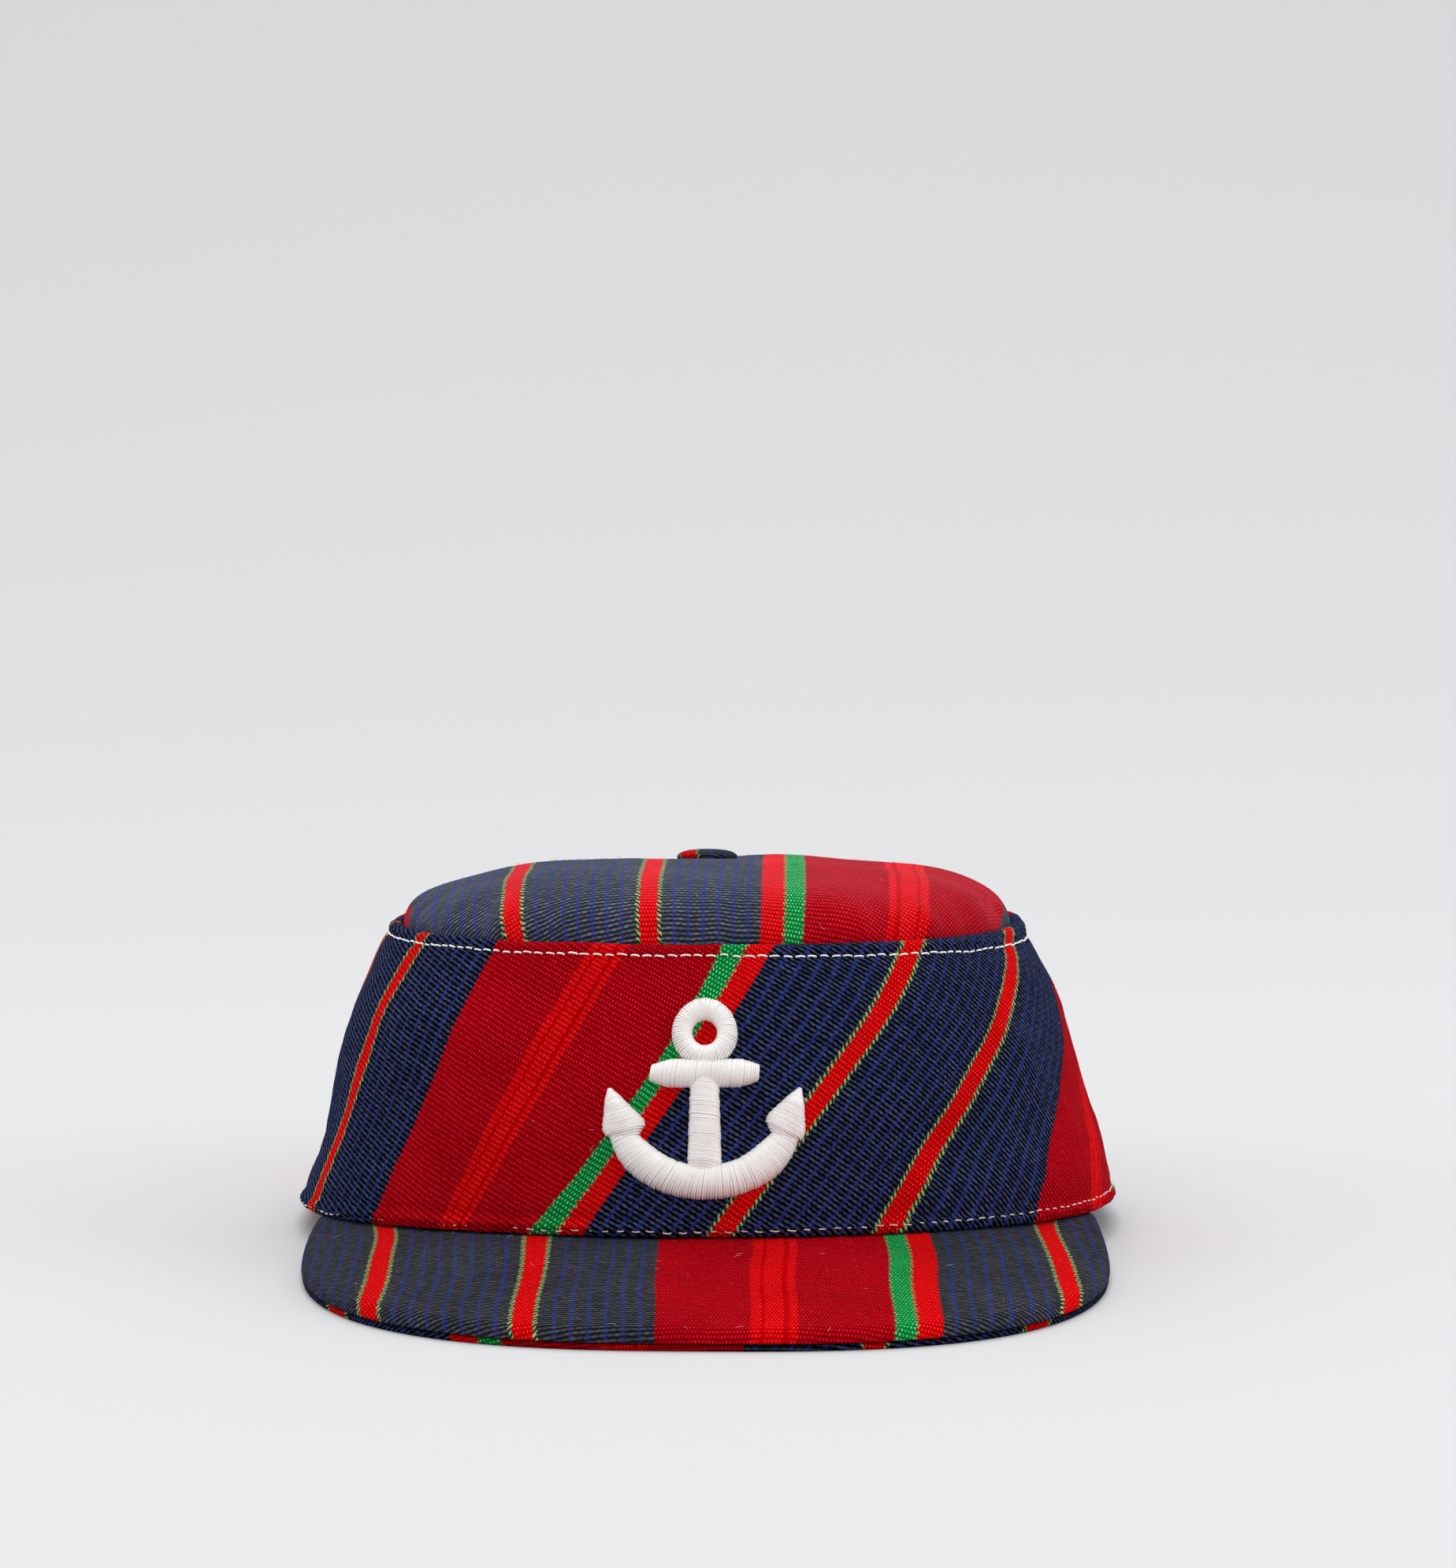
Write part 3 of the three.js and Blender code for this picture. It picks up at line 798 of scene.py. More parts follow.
def cloth_group():
    """The striped cloth from its flat places in millimetres: colour, height and roughness."""
    c = settings("cap_colours")
    floats = float_group()
    colours = ("Ground", "Ground fleck", "Pinstripe")
    amounts = ("Fleck strength", "Pinstripe strength", "Worn", "Tone")
    inputs = [("Cloth", "Vector")]
    inputs += [(label, "Color") for label in colours]
    inputs += [(label, "Float") for label in amounts]
    outputs = [("Colour", "Color"), ("Height", "Float"), ("Roughness", "Float")]
    w, given, out = node_tree("Striped cloth", "ShaderNodeTree", inputs, outputs)
    flat = w.node("ShaderNodeSeparateXYZ", Vector=given["Cloth"]).outputs
    sway = w.math("MULTIPLY", w.math("SUBTRACT", w.noise(given["Cloth"], 0.11), 0.5), 0.9)
    shake = w.math("MULTIPLY", w.math("SUBTRACT", w.noise(given["Cloth"], 0.9), 0.5), 0.4)
    along = w.math("ADD", w.math("ADD", flat["Y"], sway), shake)
    odd = w.math("SUBTRACT", w.math("FRACT", w.math("MULTIPLY", w.math("FLOOR", along), 0.5)), 0.25)
    across = w.math("ADD", flat["X"], w.math("MULTIPLY", shake, 0.45))
    toothed = w.math("ADD", across, w.math("MULTIPLY", odd, 0.5))
    place = w.math("FRACT", w.math("DIVIDE", toothed, REPEAT))

    gap = tuple((a + b) / 2 for a, b in zip(c.crimson, c.red))
    black = (0.0, 0.0, 0.0)
    base = {"crimson": c.crimson, "crimson_line": gap, "bright": c.red, "red": c.red}
    base |= {"green": c.green, "ground": black}
    fleck = {"crimson": c.crimson_fleck, "crimson_line": gap, "bright": c.red_fleck, "red": c.red_fleck}
    fleck |= {"green": c.green_fleck, "ground": black}
    under = stripe_ramp(w, place, base).outputs
    over = stripe_ramp(w, place, fleck).outputs
    spot = w.math("MULTIPLY", place, REPEAT)
    cord = 0.0
    for middle, wide in CORDS:
        cord = w.math("MAXIMUM", cord, w.math("COMPARE", spot, middle, wide / 2))

    def woven(pitch_across, pitch_along, width, long):
        made = w.tree.nodes.new("ShaderNodeGroup")
        made.node_tree = floats
        values = (across, along, pitch_across, pitch_along, width, long)
        for socket, value in zip(made.inputs, values):
            w.join(socket, value)
        return made.outputs

    def times(first, second):
        return w.math("MULTIPLY", first, second)

    def grey(value):
        return w.node("ShaderNodeCombineColor", Red=value, Green=value, Blue=value).outputs[0]

    upright = woven(0.66, 1.0, 0.21, 0.48)
    level = woven(1.3, 1.0, 1.35, 0.48)
    lively = w.math("ADD", 0.35, times(upright["Chance"], 0.85))
    # The cords' pale yarn alternates with painted shade between its twists.
    twist = w.math("ADD", w.math("DIVIDE", along, ROPE_PITCH), times(across, 0.7))
    strands = w.fade(w.math("SINE", times(twist, 2 * math.pi)), -0.35, 0.45)
    # The floats are painted lighter: partly their own yarn, partly painted highlight.
    spots = times(times(upright["Mask"], lively), given["Fleck strength"])
    striped = w.mix(spots, under["Color"], over["Color"])
    twisted = w.mix(strands, (*c.cord_shade, 1.0), (*c.lime, 1.0))

    # The dark fields' floats are painted lighter: partly their own yarn, partly painted highlight.
    grain = times(level["Mask"], w.math("ADD", 0.4, times(level["Chance"], 0.6)))
    field = w.mix(times(grain, given["Fleck strength"]), given["Ground"], given["Ground fleck"])
    origin, number = DARK_FIELDS[0]
    for (start, lines), (next_start, next_lines) in zip(DARK_FIELDS, DARK_FIELDS[1:]):
        past = w.math("GREATER_THAN", spot, next_start - 3)
        origin = w.math("ADD", origin, times(past, next_start - start))
        number = w.math("ADD", number, times(past, next_lines - lines))
    stray = times(w.math("SUBTRACT", w.noise(given["Cloth"], 0.035), 0.5), 1.6)
    lines = w.math("DIVIDE", w.math("ADD", w.math("SUBTRACT", spot, origin), stray), PINSTRIPE_PITCH)
    nearest = w.math("ABSOLUTE", w.math("SUBTRACT", w.math("FRACT", w.math("ADD", lines, 0.5)), 0.5))
    inside = times(w.math("GREATER_THAN", lines, 0.5), w.math("LESS_THAN", lines, w.math("ADD", number, 0.5)))
    pin = times(w.fade(nearest, 0.16, 0.075), inside)
    broken = w.fade(w.noise(given["Cloth"], 1.1, 1.0), 0.35, 0.6, 0.28, 1.0)
    pin = times(times(pin, broken), given["Pinstripe strength"])
    field = w.mix(pin, field, given["Pinstripe"])

    cloth = w.mix(cord, w.mix(under["Alpha"], striped, field), twisted)
    rib = w.math("ABSOLUTE", w.math("SUBTRACT", w.math("FRACT", along), 0.5))
    # Painted shade: the colour darkens in the hollows between the ribs.
    cloth = w.mix(1.0, cloth, grey(w.fade(rib, 0.5, 0.28, 0.62, 1.0)), "MULTIPLY")
    patch = w.fade(w.noise(given["Cloth"], 0.045, 3.0, 0.6), 0.3, 0.7, 0.9, 1.09)
    # Painted light and shade: the piece's tone lightens or darkens all its cloth.
    cloth = w.mix(1.0, cloth, grey(times(patch, given["Tone"])), "MULTIPLY")
    rubbed = times(w.fade(w.noise(given["Cloth"], 0.6, 4.0, 0.7), 0.55, 0.8), given["Worn"])
    cloth = w.mix(rubbed, cloth, RUBBED_TINT)
    yarn = w.math("MAXIMUM", upright["Mask"], level["Mask"])
    raised = w.math("ADD", times(yarn, 0.35), times(w.fade(rib, 0.5, 0.1), 0.65))
    w.join(out["Colour"], cloth)
    w.join(out["Height"], raised)
    w.join(out["Roughness"], w.fade(upright["Mask"], 0.0, 1.0, 0.93, 0.74))
    return w.tree


def principled(name):
    """A new material, its wiring and its shader."""
    material = bpy.data.materials.new(name)
    material.use_nodes = True
    nodes = material.node_tree.nodes
    return material, Wiring(material.node_tree), next(n for n in nodes if n.type == "BSDF_PRINCIPLED")


def cloth_material(name, dark, fleck_strength, pinstripe_strength, worn, sheen, tone):
    """Striped cloth with a dark ground of its own."""
    c = settings("cap_colours")
    tree = bpy.data.node_groups.get("Striped cloth") or cloth_group()
    material, w, shader = principled(name)
    uv = w.node("ShaderNodeUVMap")
    uv.uv_map = "cloth"
    scale = w.node("ShaderNodeMapping", Vector=uv.outputs[0], Scale=(1000.0, 1000.0, 1000.0))
    group = w.tree.nodes.new("ShaderNodeGroup")
    group.node_tree = tree
    values = {
        "Cloth": scale.outputs[0],
        # The piece's own dark ground and floats carry painted light and shade.
        "Ground": (*getattr(c, dark + "_ground"), 1.0),
        "Ground fleck": (*getattr(c, dark + "_fleck"), 1.0),
        "Pinstripe": (*c.pinstripe, 1.0),
        "Fleck strength": fleck_strength,
        "Pinstripe strength": pinstripe_strength,
        "Worn": worn,
        # tone is painted light and shade for this piece.
        "Tone": tone,
    }
    for label, value in values.items():
        w.join(group.inputs[label], value)
    bump = w.node("ShaderNodeBump", Height=group.outputs["Height"], Strength=0.55, Distance=0.00022)
    w.join(shader.inputs["Base Color"], group.outputs["Colour"])
    w.join(shader.inputs["Roughness"], group.outputs["Roughness"])
    w.join(shader.inputs["Normal"], bump.outputs[0])
    shader.inputs["Specular IOR Level"].default_value = 0.01
    shader.inputs["Sheen Weight"].default_value = sheen
    shader.inputs["Sheen Roughness"].default_value = 0.45
    shader.inputs["Sheen Tint"].default_value = SHEEN_TINT
    return material


def thread_material(name, dye, roughness, fibre):
    """Twisted thread. fibre is the number of its fine strands per millimetre."""
    material, w, shader = principled(name)
    place = w.node("ShaderNodeTexCoord").outputs["Object"]
    strands = w.noise(place, fibre * 1000.0, 3.0, 0.65)
    soil = w.fade(w.noise(place, 260.0, 3.0, 0.6), 0.35, 0.75)
    pale = tuple(getattr(settings("cap_colours"), dye))
    dull = tuple(v * k for v, k in zip(pale, (0.86, 0.82, 0.78)))
    tint = w.mix(w.math("MULTIPLY", soil, 0.5), (*pale, 1.0), (*dull, 1.0))
    bump = w.node("ShaderNodeBump", Height=strands, Strength=0.35, Distance=0.00008)
    w.join(shader.inputs["Base Color"], tint)
    w.join(shader.inputs["Roughness"], w.fade(strands, 0.3, 0.7, roughness, roughness + 0.18))
    w.join(shader.inputs["Normal"], bump.outputs[0])
    shader.inputs["Specular IOR Level"].default_value = 0.7
    shader.inputs["Sheen Weight"].default_value = 0.2
    return material


def fibre_material(name):
    """Loose fibres, each in the colour of the cloth that it stands on."""
    material, w, shader = principled(name)
    tint = w.node("ShaderNodeAttribute")
    tint.attribute_name = "tint"
    w.join(shader.inputs["Base Color"], tint.outputs["Color"])
    shader.inputs["Roughness"].default_value = 0.9
    shader.inputs["Specular IOR Level"].default_value = 0.1
    return material


def named_material(name):
    """The finish of that name, made on first use."""
    if name in bpy.data.materials:
        return bpy.data.materials[name]
    if name in CLOTH_FINISHES:
        return cloth_material(name, *CLOTH_FINISHES[name])
    if name in THREAD_FINISHES:
        return thread_material(name, *THREAD_FINISHES[name])
    return fibre_material(name)


# The cap's pieces.


def wall_arc(turn):
    """Millimetres round the wall from its front, at half height."""
    turns = np.linspace(-np.pi, np.pi, 1441)
    run = run_along(wall_point(turns, 0.5))
    front = run[len(run) // 2]
    return np.interp(turn, turns, (run - front) / MM)


def wall_stripe(arc, rise):
    """The stripe repeat's millimetre at a place of the wall."""
    labels, hem, middle, fold = STRIPE_LAY.T
    if rise <= 1:
        low = hem * (1 - rise) * (1 - 2 * rise)
        at = low + middle * 4 * rise * (1 - rise) + fold * rise * (2 * rise - 1)
    else:
        at = fold + (fold - middle) * 2 * (rise - 1)
    place = np.interp(arc, at, labels)
    place = np.where(arc < at[0], labels[0] + (arc - at[0]) * LAY_PACE, place)
    return np.where(arc > at[-1], labels[-1] + (arc - at[-1]) * LAY_PACE, place)


def wall_skin():
    """Rises and insets round the wall's section: up the outside, over the fold, down the inside."""
    sizes = settings("cap_sizes")
    hem = np.linspace(0.0, 0.115, 19)
    wall = np.linspace(0.13, 0.9, 34)
    shoulder = np.linspace(0.912, 1.0, 20)
    outer = np.concatenate((hem, wall, shoulder))
    fold = np.array((
        # rise, inset in millimetres
        (1.004, 0.2),
        (1.008, 0.5),
        (1.011, 0.95),
        (1.012, 1.4),
        (1.009, 1.95),
        (1.0, 2.4),
    ))
    inner = np.linspace(0.98, 0.13, 26)
    turned = np.array((
        # rise, inset in millimetres
        (0.085, 3.3),
        (0.06, 3.65),
        (0.04, 3.8),
        (0.02, 3.55),
        (0.0, 3.1),
        (0.0, 2.2),
        (0.0, 1.0),
    ))
    rise = np.concatenate((outer, fold[:, 0], inner, turned[:, 0]))
    lining = np.full(len(inner), sizes.wall_thick)
    inset = np.concatenate((0 * outer, fold[:, 1] * MM, lining, turned[:, 1] * MM))
    return rise, inset, len(outer)


def ring_share(turn, rise):
    """The share of the way round the wall at one rise, from the back over the left side, and its length."""
    turns = np.linspace(-np.pi, np.pi, 2881)
    run = run_along(wall_point(turns, rise))
    return np.interp(turn, turns, run / run[-1]), run[-1]


def seam_rise(line, drop, turn):
    """The rise of a line of stitches, which runs lower by drop at the right side."""
    return line - drop * np.maximum(0.0, np.sin(turn))


def wall_relief(turn, rise):
    """How far the outer cloth stands proud of the plain wall: soft lumps, sunk seams, the rolled edges."""
    sizes = settings("cap_sizes")
    sew = settings("cap_stitches")
    arc = wall_arc(turn)
    slant = rise * WALL_SLANT / MM
    # The motif's stitches hold the cloth flatter round them, and the hem's roll does so below.
    motif = np.exp(-((arc / 26) ** 4)) * step(rise, 0.05, 0.14) * (1 - step(rise, 0.8, 0.92))
    loose = step(rise, 0.08, 0.2) * (1 - 0.65 * motif)
    lumps = ripple(arc / 30, slant / 24, 5) * sizes.cloth_lumps * loose
    lumps = lumps + ripple(arc / 9, slant / 7, 6) * sizes.fine_lumps

    def near(line, spread):
        return np.exp(-(((rise - line) * WALL_SLANT / MM / spread) ** 2))

    def seam(line, drop, pitch, deep):
        share_round, around = ring_share(turn, line)
        beat = 0.62 + 0.38 * np.cos(2 * np.pi * share_round * round(around / pitch))
        return -deep * near(seam_rise(line, drop, turn), 0.95) * beat

    sunk = seam(sew.top_line, sew.top_drop, sew.top_pitch, sew.top_sink)
    sunk = sunk + seam(sew.hem_line, -sew.hem_climb, sew.hem_pitch, sew.hem_sink)
    rolled = sizes.edge_roll * near(0.99, 0.9) * (1 + 0.35 * ripple(arc / 4, 0 * arc, 8))
    ribs = sizes.hem_ribs * np.sin(2 * np.pi * (arc / 1.3 + slant / 2.2)) * near(0.018, 1.0)
    back = (np.pi - np.abs(turn)) * 90
    closing = -sizes.back_seam * np.exp(-((back / 1.1) ** 2)) * step(rise, 0.06, 0.12)
    return lumps + sunk + rolled + ribs + closing


def hem_settle(turn, rise):
    """How far the hem comes down to rest on the visor."""
    sizes = settings("cap_sizes")
    return sizes.hem_settle * (1 - step(rise, 0.0, 0.035)) * (1 - step(np.abs(turn), 1.05, 1.2))


def make_side_band():
    """The bias-cut wall with its folded edge and its rolled hem."""
    columns = 870
    turn = np.linspace(-np.pi, np.pi, columns + 1)
    rise, inset, outer = wall_skin()
    points = wall_point(turn[None, :-1], rise[:, None], inset[:, None])
    arc = wall_arc(turn)
    normal = grid_normals(points, wrap_rows=True)
    shown = np.where(np.arange(len(rise)) < outer + 3, 1.0, 0.0)[:, None]
    points = points + normal * (shown * wall_relief(turn[None, :-1], rise[:, None]))[..., None]
    points[..., 2] = np.maximum(points[..., 2] - hem_settle(turn[None, :-1], rise[:, None]), 0.0)

    middle = len(turn) // 2
    path = points[:, middle]
    run = run_along(path) / MM
    run = np.append(run, run[-1] + np.linalg.norm(path[-1] - path[0]) / MM)
    half = np.interp(0.5, rise[:outer], run[:outer])
    top_run = run[outer - 1]
    across = np.empty((len(run), columns + 1))
    for k, slant in enumerate(run):
        level = rise[k] if k < outer else 1 + (slant - top_run) * MM / WALL_SLANT
        across[k] = wall_stripe(arc, level)
    radius = FAN_RADIUS - (run - half)[:, None]
    fan_x = radius * np.sin(arc / FAN_RADIUS)[None]
    fan_y = FAN_RADIUS - radius * np.cos(arc / FAN_RADIUS)[None]
    along = fan_x * math.sin(BIAS) + fan_y * math.cos(BIAS)
    cloth = np.stack((across, along), axis=-1) * MM
    mesh = grid_mesh("side_band_cloth", points, cloth, wrap_rows=True, wrap_columns=True)
    return add_piece("side_band_cloth", mesh, named_material("bias cloth"))


def panel_relief(turn, x, y, height):
    """How far the top's cloth stands proud of the dome: lumps, puckers, a crease and a flatter crest."""
    sizes = settings("cap_sizes")
    free = step(height, 0.25, 0.6)
    lumps = ripple(x / 42, y / 42, 14) * sizes.cloth_lumps * 1.5 * free
    arc = turn * RIM_RADIUS
    low = np.exp(-(((height - 0.42) / 0.28) ** 2))
    pucker = ripple(arc / 11, 0 * arc, 12) * sizes.panel_puckers * low
    aside = (x - CREASE["x"] - CREASE["slope"] * (y - CREASE["y"])) / CREASE["spread"]
    ahead = (y - CREASE["middle"]) / CREASE["reach"]
    crease = sizes.panel_crease * np.exp(-(aside**2) - ahead**4)
    aside = (x - CREST["x"]) / CREST["wide"]
    ahead = (y - CREST["y"]) / CREST["deep"]
    flat = -sizes.panel_flat * np.exp(-(aside**2) - ahead**2) * free
    return lumps + pucker + crease + flat


def make_top_panel():
    """The domed top, its rim sewn in behind the wall's folded edge."""
    sizes = settings("cap_sizes")
    columns = 640
    turn = np.linspace(-np.pi, np.pi, columns + 1)
    t = turn[None, :-1]
    climb_out = np.radians(np.concatenate((np.linspace(0, 24, 22), np.linspace(26, 90, 62))))
    climb_in = np.radians(np.linspace(90, 0, 22))
    inside = dome_point(t, climb_in[:, None], sizes.panel_thick)
    outside = dome_point(t, climb_out[:, None], 0.0)
    tuck_rise = np.array((0.955, 0.9))
    tuck_in = wall_point(t, tuck_rise[:, None], sizes.wall_thick + GAP + sizes.panel_thick)
    tuck_out = wall_point(t, tuck_rise[::-1, None], sizes.wall_thick + GAP)
    points = np.concatenate((inside, tuck_in, tuck_out, outside))
    normal = grid_normals(points)
    shown = np.zeros((len(points), 1))
    shown[-len(climb_out):] = 1.0
    x = points[..., 0] / MM
    y = (points[..., 1] - crown_y()) / MM
    height = (points[..., 2] - (sizes.wall_top - sizes.panel_drop)) / sizes.dome_rise
    points = points + normal * (shown * panel_relief(t, x, y, height))[..., None]

    plan = np.hypot(x, y)
    step_out = np.linalg.norm(np.diff(points, axis=0), axis=-1) / MM
    run = np.concatenate((np.zeros((1, columns)), np.cumsum(step_out, axis=0)))
    run = np.abs(run[-1:] - run)
    stretch = np.where(plan > 1e-6, run / np.maximum(plan, 1e-6), 1.0)
    stretch[-1] = stretch[-2]
    stretch[: len(climb_in)] = 1.0
    skewed = TOP_LEAN * y - TOP_LEFT_PULL * step(-x, 50, 66)
    across = TOP_START - x * (1 + TOP_EASE * (stretch - 1)) + skewed
    along = -y * stretch
    cloth = np.stack((across, along), axis=-1) * MM
    cloth = np.concatenate((cloth, cloth[:, :1]), axis=1)
    mesh = grid_mesh("top_panel_cloth", points, cloth, wrap_columns=True)
    return add_piece("top_panel_cloth", mesh, named_material("top cloth"))


def make_top_button():
    """The cloth-covered button on the middle of the top."""
    sizes = settings("cap_sizes")
    profile = np.array((
        # shares of the radius and of the rise, from the foot's middle to the top's
        (0, 0), (0.45, 0), (0.8, 0), (0.91, 0.0), (0.97, 0.1), (1.0, 0.3), (0.98, 0.46),
        (0.9, 0.64), (0.77, 0.79), (0.6, 0.9), (0.4, 0.96), (0.2, 0.99), (0, 1.0),
    ))
    foot = sizes.wall_top - sizes.panel_drop + sizes.dome_rise - sizes.dimple_depth + sizes.button_seat
    dome_depth = WALL_LEVELS[-1, 2] * sizes.hem_half_depth
    slope = -math.atan(sizes.lean_front * sizes.dome_rise / dome_depth)
    columns = 96
    turn = np.linspace(-np.pi, np.pi, columns + 1)
    t = turn[None, :-1]
    fold = 1 + 0.02 * np.cos(9 * t + 0.6) * (1 - profile[:, 1:2])
    radius = profile[:, :1] * sizes.button_radius * fold
    x = radius * np.sin(t)
    ahead = -radius * np.cos(t)
    up = profile[:, 1:2] * sizes.button_rise + 0 * t
    y = crown_y() + ahead * math.cos(slope) - up * math.sin(slope)
    z = foot + ahead * math.sin(slope) + up * math.cos(slope)
    points = np.stack((x, y, z), axis=-1)
    outline = profile * (sizes.button_radius / MM, sizes.button_rise / MM)
    run = run_along(outline)
    run = (run[-1] - run)[:, None]
    cloth = np.stack((BUTTON_START + run * np.sin(t), run * np.cos(t)), axis=-1) * MM
    cloth = np.concatenate((cloth, cloth[:, :1]), axis=1)
    mesh = grid_mesh("top_button_cloth", points, cloth, wrap_columns=True)
    return add_piece("top_button_cloth", mesh, named_material("button cloth"))


def visor_cover(name, upper_depth, lower_depth, roll, mirrored, material):
    """One cover of the visor: its upper face, the roll over its edge and its lower face."""
    sizes = settings("cap_visor")
    side = np.linspace(-1, 1, 361)
    inner, edge = visor_ribs(side)
    span = np.hypot(edge[:, 0] - inner[:, 0], edge[:, 1] - inner[:, 1])[:, None]
    station = np.linspace(0, 1, 44)[None]
    face = span + (sizes.bend - span) * station
    roll_inset, roll_depth = (np.repeat(v[None] * MM, len(side), 0) for v in roll.T)
    inset = np.concatenate((face, roll_inset, face[:, ::-1]), axis=1)
    depth = np.concatenate((0 * face + upper_depth, roll_depth, 0 * face + lower_depth), axis=1)
    points = visor_point(inner, edge, inset, depth)
    x = points[..., 0] / MM
    y = points[..., 1] / MM
    edge_row = face.shape[1]
    upper = np.zeros(inset.shape[1])
    upper[:edge_row] = 1.0
    free = upper * np.sin(np.pi * np.clip(1 - inset / span, 0, 1)) ** 0.6
    points[..., 2] += ripple(x / 34, y / 30, 21) * sizes.lumps * free

    heading = unit((edge - inner)[:, :2])
    piece = np.linalg.norm(np.diff(points, axis=1), axis=-1) / MM
    run = np.concatenate((np.zeros((len(side), 1)), np.cumsum(piece, axis=1)), axis=1)
    plan = (span - inset) / MM
    roll_run = run[:, edge_row - 1:edge_row]
    roll_plan = plan[:, edge_row - 1:edge_row]
    past = np.maximum(0.0, run - roll_run - np.maximum(0, plan - roll_plan))
    past[:, edge_row + len(roll):] = 0.0
    # The stripes are drawn aside at the left end, along the right half of the front and at the right end.
    left_pull = (1.0 + 3.2 * np.exp(-np.maximum(plan - 3, 0) / 14)) * step(-x, 25, 60)
    front_pull = 0.9 * step(plan, 8, 50) * step(x, -2, 12) * (1 - step(x, 50, 64))
    right_pull = -1.9 * step(x, 45, 65)
    drawn = 0.2 * ripple(x / 55, y / 34, 23) + left_pull + front_pull + right_pull
    across = x + heading[:, :1] * past + drawn
    along = -y - heading[:, 1:] * past
    across = UNDER_START - across if mirrored else VISOR_START + across
    cloth = np.stack((across, along), axis=-1) * MM
    mesh = grid_mesh(name, points.transpose(1, 0, 2), cloth.transpose(1, 0, 2))
    close_section(mesh, points.shape[1], len(side))
    return add_piece(name, mesh, named_material(material))


def close_section(mesh, rows, columns):
    """Joins a cover's lower face to its upper face under the hem, and closes its two ends."""
    shape = bmesh.new()
    shape.from_mesh(mesh)
    shape.verts.ensure_lookup_table()
    loops = shape.loops.layers.uv["cloth"]
    known = {}
    for face in shape.faces:
        for loop in face.loops:
            known[loop.vert.index] = loop[loops].uv.copy()
    first = [shape.verts[k] for k in range(columns)]
    last = [shape.verts[(rows - 1) * columns + k] for k in range(columns)]
    made = [shape.faces.new((last[k], last[k + 1], first[k + 1], first[k])) for k in range(columns - 1)]
    half = rows // 2
    for column in (0, columns - 1):
        for k in range(half):
            far = rows - 1 - k
            strip = [row * columns + column for row in (k, k + 1, far - 1, far)]
            strip = list(dict.fromkeys(strip))
            if len(strip) < 3 or k + 1 > far - 1:
                continue
            made.append(shape.faces.new([shape.verts[v] for v in (strip if column else strip[::-1])]))
    for face in made:
        face.smooth = True
        for loop in face.loops:
            loop[loops].uv = known[loop.vert.index]
    bmesh.ops.recalc_face_normals(shape, faces=shape.faces)
    shape.to_mesh(mesh)
    shape.free()
    mesh.update()


def make_visor():
    """The visor's two covers, the upper one rolled over the front edge."""
    sizes = settings("cap_visor")
    cover = sizes.cover / MM
    # Rows of the rolls: millimetres back from the edge, and down from the upper surface.
    top_roll = np.array((
        (1.9, 0.09), (1.5, 0.24), (1.1, 0.45), (0.7, 0.76), (0.42, 1.05),
        (0.2, 1.38), (0.05, 1.72), (0.0, 2.0), (0.1, 2.25), (0.3, cover),
    ))
    under_roll = np.array((
        (0.6, cover + 0.3), (0.35, 2.98), (0.25, 3.3), (0.4, 3.68),
        (0.7, 3.95), (1.1, 4.12), (1.6, sizes.thick / MM),
    ))
    top = visor_cover("visor_top_cloth", 0.0, sizes.cover, top_roll, False, "visor cloth")
    under = visor_cover("visor_under_cloth", sizes.cover + GAP, sizes.thick, under_roll, True, "under cloth")
    return top, under


def stitch_line(rise, drop, pitch, sink, hidden, seed):
    """Places, headings and sizes of the stitches round the wall.

    hidden is how much deeper they lie at the left of the front.
    """
    chance = np.random.RandomState(seed)
    turns = np.linspace(-np.pi, np.pi, 7201)
    run = run_along(wall_point(turns, rise))
    number = round(run[-1] / pitch)
    at = (np.arange(number) + 0.5) / number * run[-1]
    at = at + chance.uniform(-0.08, 0.08, number) * pitch
    turn = np.interp(at, run, turns)
    level = seam_rise(rise, drop, turn) + chance.uniform(-0.0022, 0.0022, number)
    place = wall_point(turn, level)
    along = unit(wall_point(turn + 0.002, level) - wall_point(turn - 0.002, level))
    up = wall_point(turn, level + 0.004) - wall_point(turn, level - 0.004)
    out = unit(np.cross(along, up))
    up = np.cross(out, along)
    along = along + up * chance.uniform(-0.14, 0.06, (number, 1))
    size = np.stack([chance.uniform(1 - odd, 1 + odd, number) for odd in (0.14, 0.1, 0.15)], axis=1)
    lift = wall_relief(turn, level) - chance.uniform(0.5, 1.5, number) * sink
    lift = lift - hidden * np.exp(-(((turn + 0.66) / 0.27) ** 8))
    place[:, 2] -= hem_settle(turn, level)
    return place + out * lift[:, None], along, out, size


def make_topstitching():
    """White stitches below the folded edge and along the hem."""
    sew = settings("cap_stitches")
    tree = stitch_tree()
    made = []
    top = sew.top_line, sew.top_drop, sew.top_pitch, 0.02 * MM, 0.0, 31
    hem = sew.hem_line, -sew.hem_climb, sew.hem_pitch, 0.08 * MM, sew.hem_hidden, 32
    for name, line, long, radius, thread in (
        ("top_stitches", top, sew.top_length, sew.top_radius, "sewing thread"),
        ("hem_stitches", hem, sew.hem_length, sew.hem_radius, "hem thread"),
    ):
        place, along, out, size = stitch_line(*line)
        mesh = edge_mesh(name, [p[None] for p in place], along=along, out=out, size=size)
        piece = add_piece(name, mesh)
        made.append(grow(piece, tree, Length=long, Radius=radius, Sides=7, Material=named_material(thread)))
    return made


